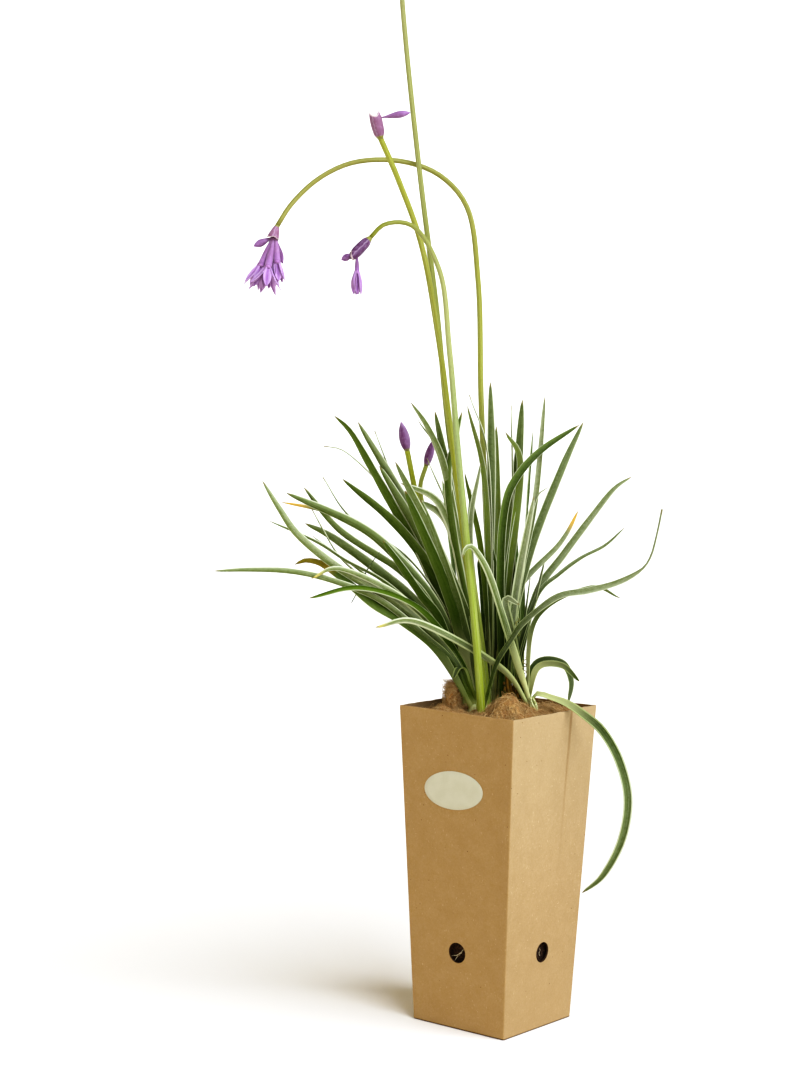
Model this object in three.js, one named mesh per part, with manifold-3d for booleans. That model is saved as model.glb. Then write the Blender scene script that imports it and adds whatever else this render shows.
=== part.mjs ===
// Potted variegated society garlic (Tulbaghia violacea) in a folded kraft carton planter.
// Units are millimetres, +Z is up, and the origin is the centre of the carton base, whose sides face X and Y.
import * as THREE from "three";
import { mergeVertices } from "three/addons/utils/BufferGeometryUtils.js";
import Module from "manifold-3d";

const wasm = await Module();
wasm.setup();

// Driving dimensions of the carton, a square sleeve that widens upwards
const CARTON_HEIGHT = 225;
const BASE_WIDTH = 80;
const RIM_WIDTH = 100;
const BOARD = 1.5;
const VENT_RADIUS = 7;
const VENT_HEIGHT = 55;
const GLUE_FLAP_WIDTH = 30;
const LABEL_SIZE = [51, 27];
const LABEL_CENTRE = [-2, 170];
const LABEL_TILT = -4;

// Driving dimensions of what fills and grows from it
const CLEARANCE = 0.3;
const SMALLEST_EDGE = 0.25;
const HOLE_PLAY = 0.5;
const MIX_TOP = 208;
const COIR_EDGE = 217;
const CROWN = 226;
const BLADE_THICKNESS = 0.8;
const BLADE_STEPS = 7;
const STALK_STEPS = 15;
const STALK_SIDES = 6;
// The plant leans towards one corner of the carton, so its own left and right are turned from X and Y
const PLANT_TURN = 39;

const degrees = THREE.MathUtils.degToRad;
const mix = THREE.MathUtils.lerp;
const smooth = THREE.MathUtils.smoothstep;

// A repeatable random draw from 0 to 1, the mulberry32 generator
function seeded(seed) {
  let state = seed;
  return () => {
    state = (state + 0x6d2b79f5) | 0;
    let t = Math.imul(state ^ (state >>> 15), 1 | state);
    t = (t + Math.imul(t ^ (t >>> 7), 61 | t)) ^ t;
    return ((t ^ (t >>> 14)) >>> 0) / 4294967296;
  };
}

// A closed body through rings of points, each ring going round the same way seen along the body.
// The second half of the sides is split along the other diagonal, so both faces of a twisted blade match.
function loft(rings) {
  const sides = rings[0].length;
  const index = [];
  for (let i = 0; i + 1 < rings.length; i++)
    for (let j = 0; j < sides; j++) {
      const a = i * sides + j;
      const b = i * sides + ((j + 1) % sides);
      const c = b + sides;
      const d = a + sides;
      if (j < sides / 2) index.push(a, b, c, a, c, d);
      else index.push(a, b, d, b, c, d);
    }
  const last = (rings.length - 1) * sides;
  for (let j = 1; j + 1 < sides; j++) {
    index.push(0, j + 1, j);
    index.push(last, last + j, last + j + 1);
  }
  const positions = new Float32Array(rings.flat().flatMap((p) => [p.x, p.y, p.z]));
  return new THREE.BufferGeometry()
    .setAttribute("position", new THREE.BufferAttribute(positions, 3))
    .setIndex(index);
}

function toSolid(geometry) {
  const bare = geometry.clone();
  bare.deleteAttribute("normal");
  bare.deleteAttribute("uv");
  const merged = mergeVertices(bare, 1e-4);
  const vertProperties = merged.attributes.position.array;
  const triVerts = new Uint32Array(merged.index.array);
  return new wasm.Manifold(new wasm.Mesh({ numProp: 3, vertProperties, triVerts }));
}

function toGeometry(solid) {
  const { vertProperties, triVerts } = solid.getMesh();
  const geometry = new THREE.BufferGeometry()
    .setAttribute("position", new THREE.BufferAttribute(new Float32Array(vertProperties), 3))
    .setIndex(new THREE.BufferAttribute(new Uint32Array(triVerts), 1))
    .toNonIndexed();
  geometry.computeVertexNormals();
  return geometry;
}

// Joins solids, and fills the tiny sealed cavities left where blades touch
function fuse(solids) {
  const bodies = wasm.Manifold.union(solids).simplify(SMALLEST_EDGE).decompose();
  return wasm.Manifold.compose(bodies.filter((body) => body.volume() > 0));
}

function named(name, geometry, material) {
  const mesh = new THREE.Mesh(geometry, material);
  mesh.name = name;
  return mesh;
}

const matt = (color, roughness) =>
  new THREE.MeshStandardMaterial({ color, roughness, metalness: 0 });
const kraft = matt(0xb08b55, 0.9);
const paper = matt(0xdfdcbc, 0.8);
const pottingMix = matt(0x2b1d13, 0.95);
const coconutFibre = matt(0xa07a4e, 0.95);
const leafGreen = matt(0x4e6b35, 0.55);
const stalkGreen = matt(0xa9b84a, 0.5);
const lilac = matt(0xb684cf, 0.6);
const budPurple = matt(0x8a5a92, 0.6);

// The carton: four walls and a bottom of folded board

// A square frustum about the Z axis, from its half widths at two heights
function frustum(halfLow, low, halfHigh, high) {
  const ring = (h, z) =>
    [[h, h], [-h, h], [-h, -h], [h, -h]].map(([x, y]) => new THREE.Vector3(x, y, z));
  return toSolid(loft([ring(halfLow, low), ring(halfHigh, high)]));
}

const wallHalf = (z) => mix(BASE_WIDTH, RIM_WIDTH, z / CARTON_HEIGHT) / 2;
const wallLean = Math.atan((RIM_WIDTH - BASE_WIDTH) / 2 / CARTON_HEIGHT);

function rod(radius, length, sides) {
  return new THREE.CylinderGeometry(radius, radius, length, sides);
}

// The flap that closes the sleeve, glued behind the +X wall along the back edge
function glueFlap(grow) {
  const bottom = 3 * BOARD;
  const top = CARTON_HEIGHT - 2;
  const section = (z) => {
    const outer = wallHalf(z) - BOARD / 2;
    const inner = wallHalf(z) - 2 * BOARD - grow;
    const end = wallHalf(z) - BOARD / 2;
    const free = wallHalf(z) - BOARD - GLUE_FLAP_WIDTH - grow;
    return [[outer, end], [inner, end], [inner, free], [outer, free]].map(
      ([x, y]) => new THREE.Vector3(x, y, z),
    );
  };
  return toSolid(loft([section(bottom), section(top)]));
}

function cartonSolid() {
  const shell = frustum(BASE_WIDTH / 2, 0, RIM_WIDTH / 2, CARTON_HEIGHT);
  const over = 5;
  const hollow = frustum(
    wallHalf(2 * BOARD) - BOARD,
    2 * BOARD,
    wallHalf(CARTON_HEIGHT + over) - BOARD,
    CARTON_HEIGHT + over,
  );
  const vent = rod(VENT_RADIUS, 2 * RIM_WIDTH, 16);
  const alongY = toSolid(vent).translate([0, 0, VENT_HEIGHT]);
  const alongX = toSolid(vent.clone().rotateZ(Math.PI / 2)).translate([0, 0, VENT_HEIGHT]);
  return shell.subtract(hollow).add(glueFlap(0)).subtract(alongY).subtract(alongX);
}

// The root ball: potting mix that fills the sleeve up to the coir
function mixSolid() {
  const low = 2 * BOARD + CLEARANCE;
  const side = (z) => wallHalf(z) - BOARD - CLEARANCE;
  return frustum(side(low), low, side(MIX_TOP), MIX_TOP).subtract(glueFlap(CLEARANCE));
}

// The coir mat over the root ball, a lumpy pad with plain holes where the plant comes through
const COIR_CELLS = 12;
const COIR_LUMPS = [
  { x: 5, y: -31, height: 15, spread: 10 },
  { x: -38, y: -16, height: 6, spread: 12 },
  { x: 30, y: -18, height: 4, spread: 12 },
  { x: 34, y: 14, height: 4, spread: 13 },
  { x: -4, y: 34, height: 5, spread: 14 },
  { x: 0, y: 2, height: 6, spread: 24 },
];

function coirTop(x, y) {
  let z = COIR_EDGE + 1.2 * Math.sin(x / 4.5 + 1) * Math.cos(y / 5.5);
  for (const lump of COIR_LUMPS)
    z += lump.height * Math.exp(-((x - lump.x) ** 2 + (y - lump.y) ** 2) / (2 * lump.spread ** 2));
  return z;
}

function turnBy(angle, x, y) {
  const a = degrees(angle);
  return [x * Math.cos(a) - y * Math.sin(a), x * Math.sin(a) + y * Math.cos(a)];
}

// Between the carton's frame and the plant's
const towardsPlant = (x, y) => turnBy(-PLANT_TURN, x, y);
const fromPlant = (x, y) => turnBy(PLANT_TURN, x, y);

// A wisp of the mat that stands up beside the shoots: [height, radius] rings, leaning as it rises
function coirTuft() {
  const [x, y] = fromPlant(-33, -10);
  const rings = [[214, 6.5], [226, 6], [235, 5], [241, 2.5]].map(([z, radius], level) =>
    Array.from({ length: 7 }, (_, k) => {
      const a = (2 * Math.PI * k) / 7 + 0.2 * level;
      const uneven = radius * (1 + 0.18 * Math.sin(3 * k + level));
      return new THREE.Vector3(x + uneven * Math.cos(a), y + uneven * Math.sin(a), z);
    }),
  );
  return toSolid(loft(rings));
}

function coirSolid(holes) {
  const floor = MIX_TOP + CLEARANCE;
  const n = COIR_CELLS;
  const vertex = (i, j, top) => {
    const half = wallHalf(top ? COIR_EDGE : floor) - BOARD - 2 * CLEARANCE;
    const x = half * ((2 * i) / n - 1);
    const y = half * ((2 * j) / n - 1);
    return [x, y, top ? coirTop(...towardsPlant(x, y)) : floor];
  };
  const positions = [];
  const index = [];
  const at = (i, j) => j * (n + 1) + i;
  for (let j = 0; j <= n; j++) for (let i = 0; i <= n; i++) positions.push(...vertex(i, j, true));
  for (let j = 0; j < n; j++)
    for (let i = 0; i < n; i++) {
      index.push(at(i, j), at(i + 1, j), at(i + 1, j + 1));
      index.push(at(i, j), at(i + 1, j + 1), at(i, j + 1));
    }
  // The border, walked once round, closes down to a flat underside
  const border = [];
  for (let i = 0; i < n; i++) border.push([i, 0]);
  for (let j = 0; j < n; j++) border.push([n, j]);
  for (let i = n; i > 0; i--) border.push([i, n]);
  for (let j = n; j > 0; j--) border.push([0, j]);
  const first = positions.length / 3;
  for (const [i, j] of border) positions.push(...vertex(i, j, false));
  border.forEach(([i, j], k) => {
    const next = (k + 1) % border.length;
    const [ni, nj] = border[next];
    index.push(at(i, j), first + k, first + next);
    index.push(at(i, j), first + next, at(ni, nj));
  });
  const centre = positions.length / 3;
  positions.push(0, 0, floor);
  border.forEach((_, k) => index.push(centre, first + ((k + 1) % border.length), first + k));
  const geometry = new THREE.BufferGeometry()
    .setAttribute("position", new THREE.BufferAttribute(new Float32Array(positions), 3))
    .setIndex(index);
  return toSolid(geometry)
    .add(coirTuft())
    .subtract(glueFlap(CLEARANCE))
    .subtract(wasm.Manifold.union(holes));
}

// Leaves: each shoot is a fan whose leaves spread in one upright plane.
// A leaf row is [width, roll at its base, roll at its tip, points], with roll in degrees from lying in the
// fan's plane, and each point [outwards, up] in that plane, after the crown where all its leaves begin.
// A leaf that leaves the fan has its own direction as a fifth value, and one whose tip has withered to a
// thread the share of its length where the blade ends as a sixth.
// `sway` is how far the tips lean out of that plane, each by its own share of it.
const SWAY_ORDER = [-1, 1, -0.35, 0.45, 0];
const SHOOTS = {
  shoot_left_low: {
    root: [-19, -15],
    direction: 191,
    crown: 4.5,
    sway: 7,
    leaves: [
      [6, 35, 15, [[8, 250], [24, 271], [53, 297], [96, 323], [124, 345], [138, 364], [150, 383]]],
      [6.5, 35, -20, [[24, 264], [49, 285], [70, 297], [87, 311], [106, 325], [118, 328], [126, 325]]],
      [4.5, 30, 15, [[13, 256], [35, 276], [67, 301], [102, 315], [130, 321], [158, 322], [183, 321]]],
      [4.5, 30, 5, [[11, 259], [31, 284], [57, 306], [96, 323], [116, 316]]],
      [5, 40, -40, [[8, 256], [39, 295], [81, 310], [118, 303]]],
      [7, 90, 90, [[4, 243], [7, 252], [11, 253], [13, 246]], 230],
    ],
  },
  shoot_left_mid: {
    root: [-25, 2],
    direction: 181,
    crown: 4.5,
    sway: 7,
    leaves: [
      [6.5, 25, 30, [[6, 257], [25, 296], [46, 319], [89, 347], [115, 377]]],
      [7.5, 25, 15, [[5, 260], [21, 296], [47, 327], [75, 350], [127, 373]]],
      [4, 30, 15, [[6, 264], [23, 300], [50, 333], [82, 353], [103, 361], [131, 366]]],
      [7.5, 25, 20, [[8, 255], [25, 285], [46, 307], [92, 340], [114, 351]]],
      [6.5, 20, 20, [[16, 281], [31, 302], [46, 323], [59, 341]]],
      [3.5, 40, 40, [[10, 253], [32, 288], [57, 311], [85, 326], [106, 339], [139, 353]]],
      [3, 60, 60, [[6, 251], [23, 279], [71, 316], [109, 343]]],
      [2.6, 60, 60, [[4, 267], [18, 299], [43, 330], [82, 356], [102, 384]]],
      [2.6, 60, 60, [[8, 253], [28, 281], [53, 301], [78, 318], [92, 332], [109, 361]]],
    ],
  },
  shoot_left_high: {
    root: [-15, 9],
    direction: 170,
    crown: 4.5,
    sway: 3,
    leaves: [
      [8, 25, 25, [[7, 263], [22, 301], [58, 348], [100, 382]]],
      [7.5, 30, 20, [[9, 266], [32, 310], [49, 340], [64, 365], [82, 395], [95, 416], [107, 427]]],
      [7.5, 30, 20, [[7, 270], [43, 347], [90, 423]]],
      [3, 60, 60, [[7, 273], [28, 319], [47, 351], [62, 379], [78, 417]]],
      [2.5, 60, 60, [[12, 266], [35, 308], [58, 354], [73, 378], [88, 393], [102, 403], [115, 405]]],
      [8, 25, 20, [[6, 264], [40, 337], [73, 392]]],
    ],
  },
  shoot_left_steep: {
    root: [-14, -3],
    direction: 179,
    crown: 4.5,
    sway: 3,
    leaves: [
      [7.5, 20, 20, [[4, 272], [32, 338], [62, 396]]],
      [8.5, 20, 20, [[22, 300], [55, 376]]],
      [8.5, 20, 20, [[16, 293], [44, 370]]],
      [6, 25, 20, [[3, 272], [13, 321], [21, 363], [29, 397], [40, 421], [52, 438]]],
      [3, 60, 60, [[12, 310], [28, 394], [47, 426]]],
      [7.5, 20, 20, [[3, 272], [13, 321], [26, 391], [35, 432]]],
      [6.5, 30, -5, [[4, 264], [12, 307], [18, 338], [27, 361], [37, 373], [58, 381]]],
      [6, 30, -20, [[4, 264], [11, 307], [25, 354], [46, 368], [48, 358]]],
      [6.5, 25, 20, [[5, 272], [19, 340], [25, 385], [20, 414], [16, 432]]],
      [2.5, 60, 60, [[2, 272], [19, 349], [40, 399]]],
    ],
  },
  shoot_middle: {
    root: [-2, 10],
    direction: 2,
    crown: 5.5,
    sway: 3,
    leaves: [
      [7, 30, 10, [[-6, 313], [-6, 391], [-8, 453]]],
      [6, 30, 20, [[0, 313], [-3, 422]]],
      [5, 60, 30, [[-6, 313], [-11, 387], [-24, 436]]],
      [2.2, 60, 60, [[-4, 320], [-9, 402], [-23, 444]]],
      [4.5, 60, 20, [[-20, 338], [-14, 396]]],
      [5, 70, 40, [[-11, 327], [-25, 389]]],
      [7.5, 30, 20, [[4, 327], [12, 386], [15, 441]]],
      [6.5, 35, 10, [[4, 271], [7, 313], [11, 349], [14, 398], [3, 418]]],
      [2.2, 60, 60, [[2, 270], [9, 363], [7, 437]]],
      [6.5, 30, 30, [[0, 270], [0, 306], [-5, 338]]],
      [6.5, 25, 30, [[-7, 270], [-10, 306], [-14, 327]]],
      [6, 30, 20, [[6, 270], [10, 306], [11, 338]]],
    ],
  },
  shoot_right_high: {
    root: [6, 1],
    direction: 14,
    crown: 4.5,
    sway: 6,
    leaves: [
      [6, 45, 25, [[-7, 321], [-5, 366], [3, 387], [20, 406], [47, 424]]],
      [6.5, 40, 30, [[0, 271], [16, 336], [38, 392], [54, 426]]],
      [4.5, 60, 30, [[7, 307], [18, 370], [24, 444]]],
      [6, 30, 20, [[4, 300], [16, 373]]],
      [2.5, 60, 60, [[8, 307], [17, 367], [27, 380]]],
    ],
  },
  shoot_right_back: {
    root: [16, 16],
    direction: 8,
    crown: 4.5,
    sway: 6,
    leaves: [
      [5.5, 55, 30, [[-2, 256], [11, 304], [29, 330], [50, 358], [66, 378], [79, 387]]],
      [4.5, 60, 20, [[-8, 296], [26, 340], [38, 363]]],
      [3.5, 60, 45, [[-2, 260], [11, 302], [26, 317], [42, 329], [59, 338], [73, 351]]],
      [3, 60, 60, [[0, 253], [16, 328]]],
      [2.2, 60, 60, [[-1, 253], [6, 314]]],
      [5, 60, 10, [[11, 253], [29, 254], [36, 241], [34, 226]]],
    ],
  },
  shoot_right_low: {
    root: [22, -10],
    direction: -6,
    crown: 4.5,
    sway: 3,
    leaves: [
      [6.5, 60, 0, [[-14, 276], [-19, 301], [-9, 298]]],
      [3.5, 60, -20, [[2, 287], [39, 311], [61, 304]]],
      [4.5, 60, 0, [[4, 253], [21, 256], [34, 245]]],
      [6.5, 50, 20, [[4, 235], [17, 233], [28, 230], [39, 224], [54, 213], [67, 193], [74, 167], [70, 138],
        [57, 112], [42, 98]], -25],
      [5, 50, 0, [[23, 254], [82, 286], [113, 283]], 195.5],
      [5.5, 50, 0, [[27, 298], [36, 320], [44, 333], [51, 340], [56, 338], [58, 332]], 208],
    ],
  },
  shoot_front: {
    root: [-8, -21],
    direction: -3,
    crown: 3.5,
    sway: 2,
    leaves: [
      [5.5, 50, 40, [[5, 256], [15, 274], [24, 287], [46, 305], [67, 310], [87, 316], [103, 325], [110, 335],
        [114, 351], [117, 368]], -6, 0.8],
    ],
  },
};

function leafFrame(shoot, [, , , , direction = shoot.direction]) {
  const along = degrees(direction);
  return {
    root: new THREE.Vector3(shoot.root[0], shoot.root[1], 0),
    out: new THREE.Vector3(Math.cos(along), Math.sin(along), 0),
    across: new THREE.Vector3(-Math.sin(along), Math.cos(along), 0),
  };
}

// Share of the full width at a share t of the leaf's length, down to a thread where the blade has ended
function bladeWidth(t, end) {
  const fromBase = 0.6 + 0.4 * smooth(t, 0, 0.3);
  const toTip = Math.sqrt(Math.max(0, 1 - Math.max(0, (t - 0.45) / (end - 0.45)) ** 3.2));
  return Math.max(0.16, fromBase * toTip);
}

function blade(frame, [width, rollBase, rollTip, points, , end = 1], start, sway) {
  const line = new THREE.CatmullRomCurve3(
    [[start, CROWN], ...points].map(([out, up]) => new THREE.Vector3(out, up, 0)),
    false,
    "catmullrom",
  );
  const steps = points.length > 2 ? BLADE_STEPS : BLADE_STEPS - 3;
  const rings = [];
  for (let i = 0; i <= steps; i++) {
    const t = i / steps;
    const flat = line.getPointAt(t);
    const slope = line.getTangentAt(t);
    const centre = frame.root
      .clone()
      .addScaledVector(frame.out, flat.x)
      .addScaledVector(frame.across, sway * t * t)
      .setZ(flat.y);
    const tangent = frame.out.clone().multiplyScalar(slope.x).setZ(slope.y);
    const roll = degrees(mix(rollBase, rollTip, smooth(t, 0, 0.6)));
    const inPlane = tangent.clone().cross(frame.across);
    const side = inPlane
      .multiplyScalar(Math.cos(roll))
      .addScaledVector(frame.across, Math.sin(roll))
      .multiplyScalar((width * bladeWidth(t, end)) / 2);
    const thick = tangent.clone().cross(side).setLength(BLADE_THICKNESS / 2);
    rings.push([
      centre.clone().add(side).add(thick),
      centre.clone().sub(side).add(thick),
      centre.clone().sub(side).sub(thick),
      centre.clone().add(side).sub(thick),
    ]);
  }
  return toSolid(loft(rings));
}

const CROWN_SIDES = 8;

// The sheathing leaf bases, a short thick stem that stands on the root ball
function crownSolid(shoot) {
  const ring = (radius, z) =>
    Array.from({ length: CROWN_SIDES }, (_, k) => {
      const a = (2 * Math.PI * k) / CROWN_SIDES;
      return new THREE.Vector3(
        shoot.root[0] + radius * Math.cos(a),
        shoot.root[1] + radius * Math.sin(a),
        z,
      );
    });
  const r = shoot.crown;
  const rings = [[0.8, MIX_TOP + CLEARANCE], [1, CROWN - 6], [1, CROWN], [0.7, CROWN + 7]];
  return toSolid(loft(rings.map(([share, z]) => ring(share * r, z))));
}

// The steepest leaf of a fan starts at one side of the crown and the most spread one at the other
const leanOf = ([, , , [[out, up]]]) => Math.atan2(out, up - CROWN);
const byLean = (a, b) => leanOf(a) - leanOf(b);

function shootSolid(shoot) {
  const last = Math.max(1, shoot.leaves.length - 1);
  const blades = [...shoot.leaves].sort(byLean).map((leaf, rank) => {
    const start = shoot.crown * mix(-0.7, 0.3, rank / last);
    return blade(leafFrame(shoot, leaf), leaf, start, shoot.sway * SWAY_ORDER[rank % SWAY_ORDER.length]);
  });
  return fuse([crownSolid(shoot), ...blades]);
}

// Shoots behind the ones above, whose leaves follow a rule: arching blades of a seeded length and lean
const BACK_SHOOTS = {
  back_left: { root: [-24, 32], direction: 102, crown: 4, sway: 12, count: 6, seed: 11 },
  back_middle: { root: [-2, 33], direction: 88, crown: 4, sway: 10, count: 6, seed: 23 },
  back_right: { root: [17, 29], direction: 95, crown: 4, sway: 10, count: 6, seed: 37 },
};

function ruledLeaves(count, seed) {
  const random = seeded(seed);
  return Array.from({ length: count }, (_, k) => {
    const lean = degrees(mix(6, 62, (k + 0.6 * random()) / count));
    const length = mix(150, 205, random());
    const droop = mix(10, 40, random());
    const half = [length * 0.5 * Math.sin(lean), CROWN + length * 0.5 * Math.cos(lean)];
    const tip = [length * Math.sin(lean) + 0.4 * droop, CROWN + length * Math.cos(lean) - droop];
    return [mix(4.5, 6.5, random()), 70, mix(15, 60, random()), [half, tip]];
  });
}

// Flower stalks: [radius at the base, radius at the top, points] from the root ball upwards
const STALKS = {
  stalk_tall: [2.2, 1.75, [[-7, 2], [-21, 5, 321], [-38, 6, 412], [-49, 6, 503], [-62, 5, 593], [-75, 8, 697],
    [-82, 12, 772]]],
  stalk_upper: [2.2, 1.95, [[-9, -10], [-24, -13, 322], [-37, -13, 412], [-48, -13, 485], [-61, -16, 548],
    [-78, -22, 592], [-90, -27, 618]]],
  stalk_great: [2.3, 1.7, [[-3, 19], [-8, 19, 313], [-16, 19, 440], [-20, 18, 525], [-29, 17, 576],
    [-48, 15, 597], [-75, 9, 606], [-108, 0, 604], [-132, -8, 592], [-151, -15, 573], [-160, -20, 558]]],
  stalk_near: [2.9, 1.5, [[-13, -25], [-19, -26, 288], [-32, -24, 399], [-40, -24, 475], [-48, -29, 529],
    [-67, -40, 558], [-86, -49, 558], [-96, -52, 548]]],
  stalk_bud_a: [2.1, 1.95, [[-15, 19], [-37, 25, 297], [-59, 23, 365], [-68, 18, 404]]],
  stalk_bud_b: [1.9, 1.65, [[-10, 24], [-32, 31, 297], [-53, 31, 354], [-58, 29, 377], [-54, 27, 393]]],
};

function stalkLine(points) {
  const [[x, y], ...rest] = points;
  const upright = [MIX_TOP + CLEARANCE, CROWN - 9, CROWN - 1].map((z) => new THREE.Vector3(x, y, z));
  return new THREE.CatmullRomCurve3(
    [...upright, ...rest.map((p) => new THREE.Vector3(...p))],
    false,
    "centripetal",
  );
}

// A round tube along a curve that tapers from one radius to the other, upright up to the crown's height
function tube(line, base, top, steps, sides) {
  const upright = (CROWN - MIX_TOP) / line.getLength();
  let normal = new THREE.Vector3(1, 0, 0);
  const rings = [];
  for (let i = 0; i <= steps; i++) {
    const t = i === 0 ? 0 : mix(upright, 1, (i - 1) / (steps - 1));
    const centre = line.getPointAt(t);
    const tangent = line.getTangentAt(t);
    normal = normal.clone().addScaledVector(tangent, -normal.dot(tangent)).normalize();
    const binormal = tangent.clone().cross(normal);
    const radius = mix(base, top, t);
    rings.push(
      Array.from({ length: sides }, (_, k) => {
        const a = (2 * Math.PI * k) / sides;
        return centre
          .clone()
          .addScaledVector(normal, radius * Math.cos(a))
          .addScaledVector(binormal, radius * Math.sin(a));
      }),
    );
  }
  return toSolid(loft(rings));
}

// Flowers, built along a head's own axis

// Rings of [distance along the axis, radius] about a straight line from a point
function turned(from, axis, profile, sides) {
  const u = new THREE.Vector3(0.31, 0.95, 0.1).cross(axis).normalize();
  const v = axis.clone().cross(u);
  return toSolid(
    loft(
      profile.map(([along, radius]) =>
        Array.from({ length: sides }, (_, k) => {
          const a = (2 * Math.PI * k) / sides;
          return from
            .clone()
            .addScaledVector(axis, along)
            .addScaledVector(u, radius * Math.cos(a))
            .addScaledVector(v, radius * Math.sin(a));
        }),
      ),
    ),
  );
}

// One pointed lobe from the throat: [share of length, half width] stations on a line that bends outwards
function lobe(throat, axis, outwards, length, spread, bend) {
  const across = axis.clone().cross(outwards).normalize();
  const stations = [[-0.15, 0.8], [0.45, 2.9], [1, 0.45]];
  let centre = throat.clone().addScaledVector(outwards, 1.3);
  let before = 0;
  const rings = stations.map(([share, half]) => {
    const angle = degrees(spread + bend * Math.max(0, share));
    const heading = axis
      .clone()
      .multiplyScalar(Math.cos(angle))
      .addScaledVector(outwards, Math.sin(angle));
    centre = centre.clone().addScaledVector(heading, (share - before) * length);
    before = share;
    const side = across.clone().multiplyScalar(half);
    const thick = heading.clone().cross(across).setLength(0.35);
    return [
      centre.clone().add(side).sub(thick),
      centre.clone().add(side).add(thick),
      centre.clone().sub(side).add(thick),
      centre.clone().sub(side).sub(thick),
    ];
  });
  return toSolid(loft(rings));
}

const LOBES = 6;
const FLOWER_SIDES = 6;
const BRACT_SIDES = 8;

// An open flower: a slim tube that widens to a throat with six lobes
function flower(from, heading, tubeLength, lobeLength, spread, bend) {
  const axis = heading.clone().normalize();
  const throat = from.clone().addScaledVector(axis, tubeLength);
  const u = new THREE.Vector3(0.31, 0.95, 0.1).cross(axis).normalize();
  const v = axis.clone().cross(u);
  const widening = [[0, 0.8], [0.35, 1.4], [0.6, 2.1], [1.04, 2.6]];
  const profile = widening.map(([share, radius]) => [share * tubeLength, radius]);
  const pieces = [turned(from, axis, profile, FLOWER_SIDES)];
  for (let k = 0; k < LOBES; k++) {
    const a = (2 * Math.PI * k) / LOBES;
    const outwards = u.clone().multiplyScalar(Math.cos(a)).addScaledVector(v, Math.sin(a));
    pieces.push(lobe(throat, axis, outwards, lobeLength, spread + (k % 2) * 6, bend));
  }
  return fuse(pieces);
}

// A closed flower bud on its short stalk
function closedFlower(from, heading, stalkLength, budLength, scale, stalkRadius = 0.6) {
  const axis = heading.clone().normalize();
  const profile = [[0, stalkRadius], [stalkLength, stalkRadius + 0.1]];
  for (const [share, radius] of [[0.2, 1.1], [0.55, 1.9], [0.8, 1.5], [1, 0.4]])
    profile.push([stalkLength + share * budLength, radius * scale]);
  return turned(from, axis, profile, FLOWER_SIDES);
}

// The papery bract under a head: [share of length, radius], a torn cup, split at its end or still closed
const CUP_BRACT = [[0, 1.4], [0.35, 2.3], [0.75, 3.1], [1, 3.4]];
const SPLIT_BRACT = [[0, 1.9], [0.2, 3], [0.7, 3.3], [1, 2.6]];
const CLOSED_BRACT = [[0, 2.3], [0.16, 3.4], [0.42, 3.9], [0.75, 2.7], [1, 0.5]];

function bract(from, axis, length, profile, scale) {
  const sized = profile.map(([share, radius]) => [share * length, radius * scale]);
  return turned(from, axis, sized, BRACT_SIDES);
}

// Heads: the axis is the stalk's own unless one is given.
// An open flower is [distance along the bract, heading, tube length, lobe length, spread, bend].
// A closed one is [distance along the bract, heading, stalk length, bud length, scale, stalk radius].
const HEADS = {
  head_tall: {
    profile: CUP_BRACT,
    bract: 11,
    scale: 1.2,
    flowers: [
      [6, [0.9, 0.2, 0.75], 17, 11, 38, 40],
      [6, [-0.8, 0.5, 0.8], 17, 11, 38, 40],
      [6, [-0.3, -0.9, 0.7], 16, 11, 34, 40],
      [7, [0.1, 0.1, 1], 18, 11, 26, 30],
    ],
    buds: [
      [6, [0.5, -0.8, 0.5], 8, 14, 1.2],
      [6, [-0.2, 0.9, 0.45], 8, 13, 1.2],
    ],
  },
  head_upper: {
    axis: [-0.25, -0.1, 0.96],
    profile: SPLIT_BRACT,
    bract: 17,
    scale: 1.35,
    buds: [[13, [0.95, -0.1, 0.17], 6, 18, 1.2]],
  },
  head_great: {
    axis: [-0.3, -0.1, -0.95],
    profile: CUP_BRACT,
    bract: 9,
    scale: 1.25,
    flowers: [
      [5, [-0.4, -0.1, -1], 23, 18, 8, 14],
      [6, [-0.16, -0.26, -1], 23, 20, 16, 24],
      [4, [0.08, -0.08, -1], 20, 15, 4, 8],
      [5, [-0.14, 0.24, -1], 22, 17, 12, 18],
    ],
    buds: [
      [8, [-1, -0.2, -0.5], 2, 13, 1.3],
      [5, [0.24, 0.24, -0.9], 6, 16, 1.1],
    ],
  },
  head_near: {
    profile: SPLIT_BRACT,
    bract: 18,
    scale: 1.15,
    buds: [
      [12, [0.02, -0.1, -1], 10, 17, 1.5, 1.7],
      [13, [-0.9, 0.1, -0.45], 2, 9, 1.2],
    ],
  },
  head_bud_a: { profile: CLOSED_BRACT, bract: 20, scale: 1.03 },
  head_bud_b: { profile: CLOSED_BRACT, bract: 19, scale: 0.85 },
};

function headSolid(line, head) {
  const stem = line.getTangentAt(1);
  const axis = head.axis ? new THREE.Vector3(...head.axis).normalize() : stem;
  const gap = head.axis ? 2 * CLEARANCE : CLEARANCE;
  const from = line.getPointAt(1).addScaledVector(stem, gap);
  const pieces = [bract(from, axis, head.bract, head.profile, head.scale)];
  const start = (at) => from.clone().addScaledVector(axis, at);
  for (const [at, heading, ...shape] of head.flowers ?? [])
    pieces.push(flower(start(at), new THREE.Vector3(...heading), ...shape));
  for (const [at, heading, ...shape] of head.buds ?? [])
    pieces.push(closedFlower(start(at), new THREE.Vector3(...heading), ...shape));
  return fuse(pieces);
}

// Assembly
const part = new THREE.Group();
const plant = new THREE.Group();
plant.rotation.z = degrees(PLANT_TURN);
part.add(plant);

part.add(named("carton", toGeometry(cartonSolid()), kraft));
part.add(named("root_ball", toGeometry(mixSolid()), pottingMix));

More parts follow.
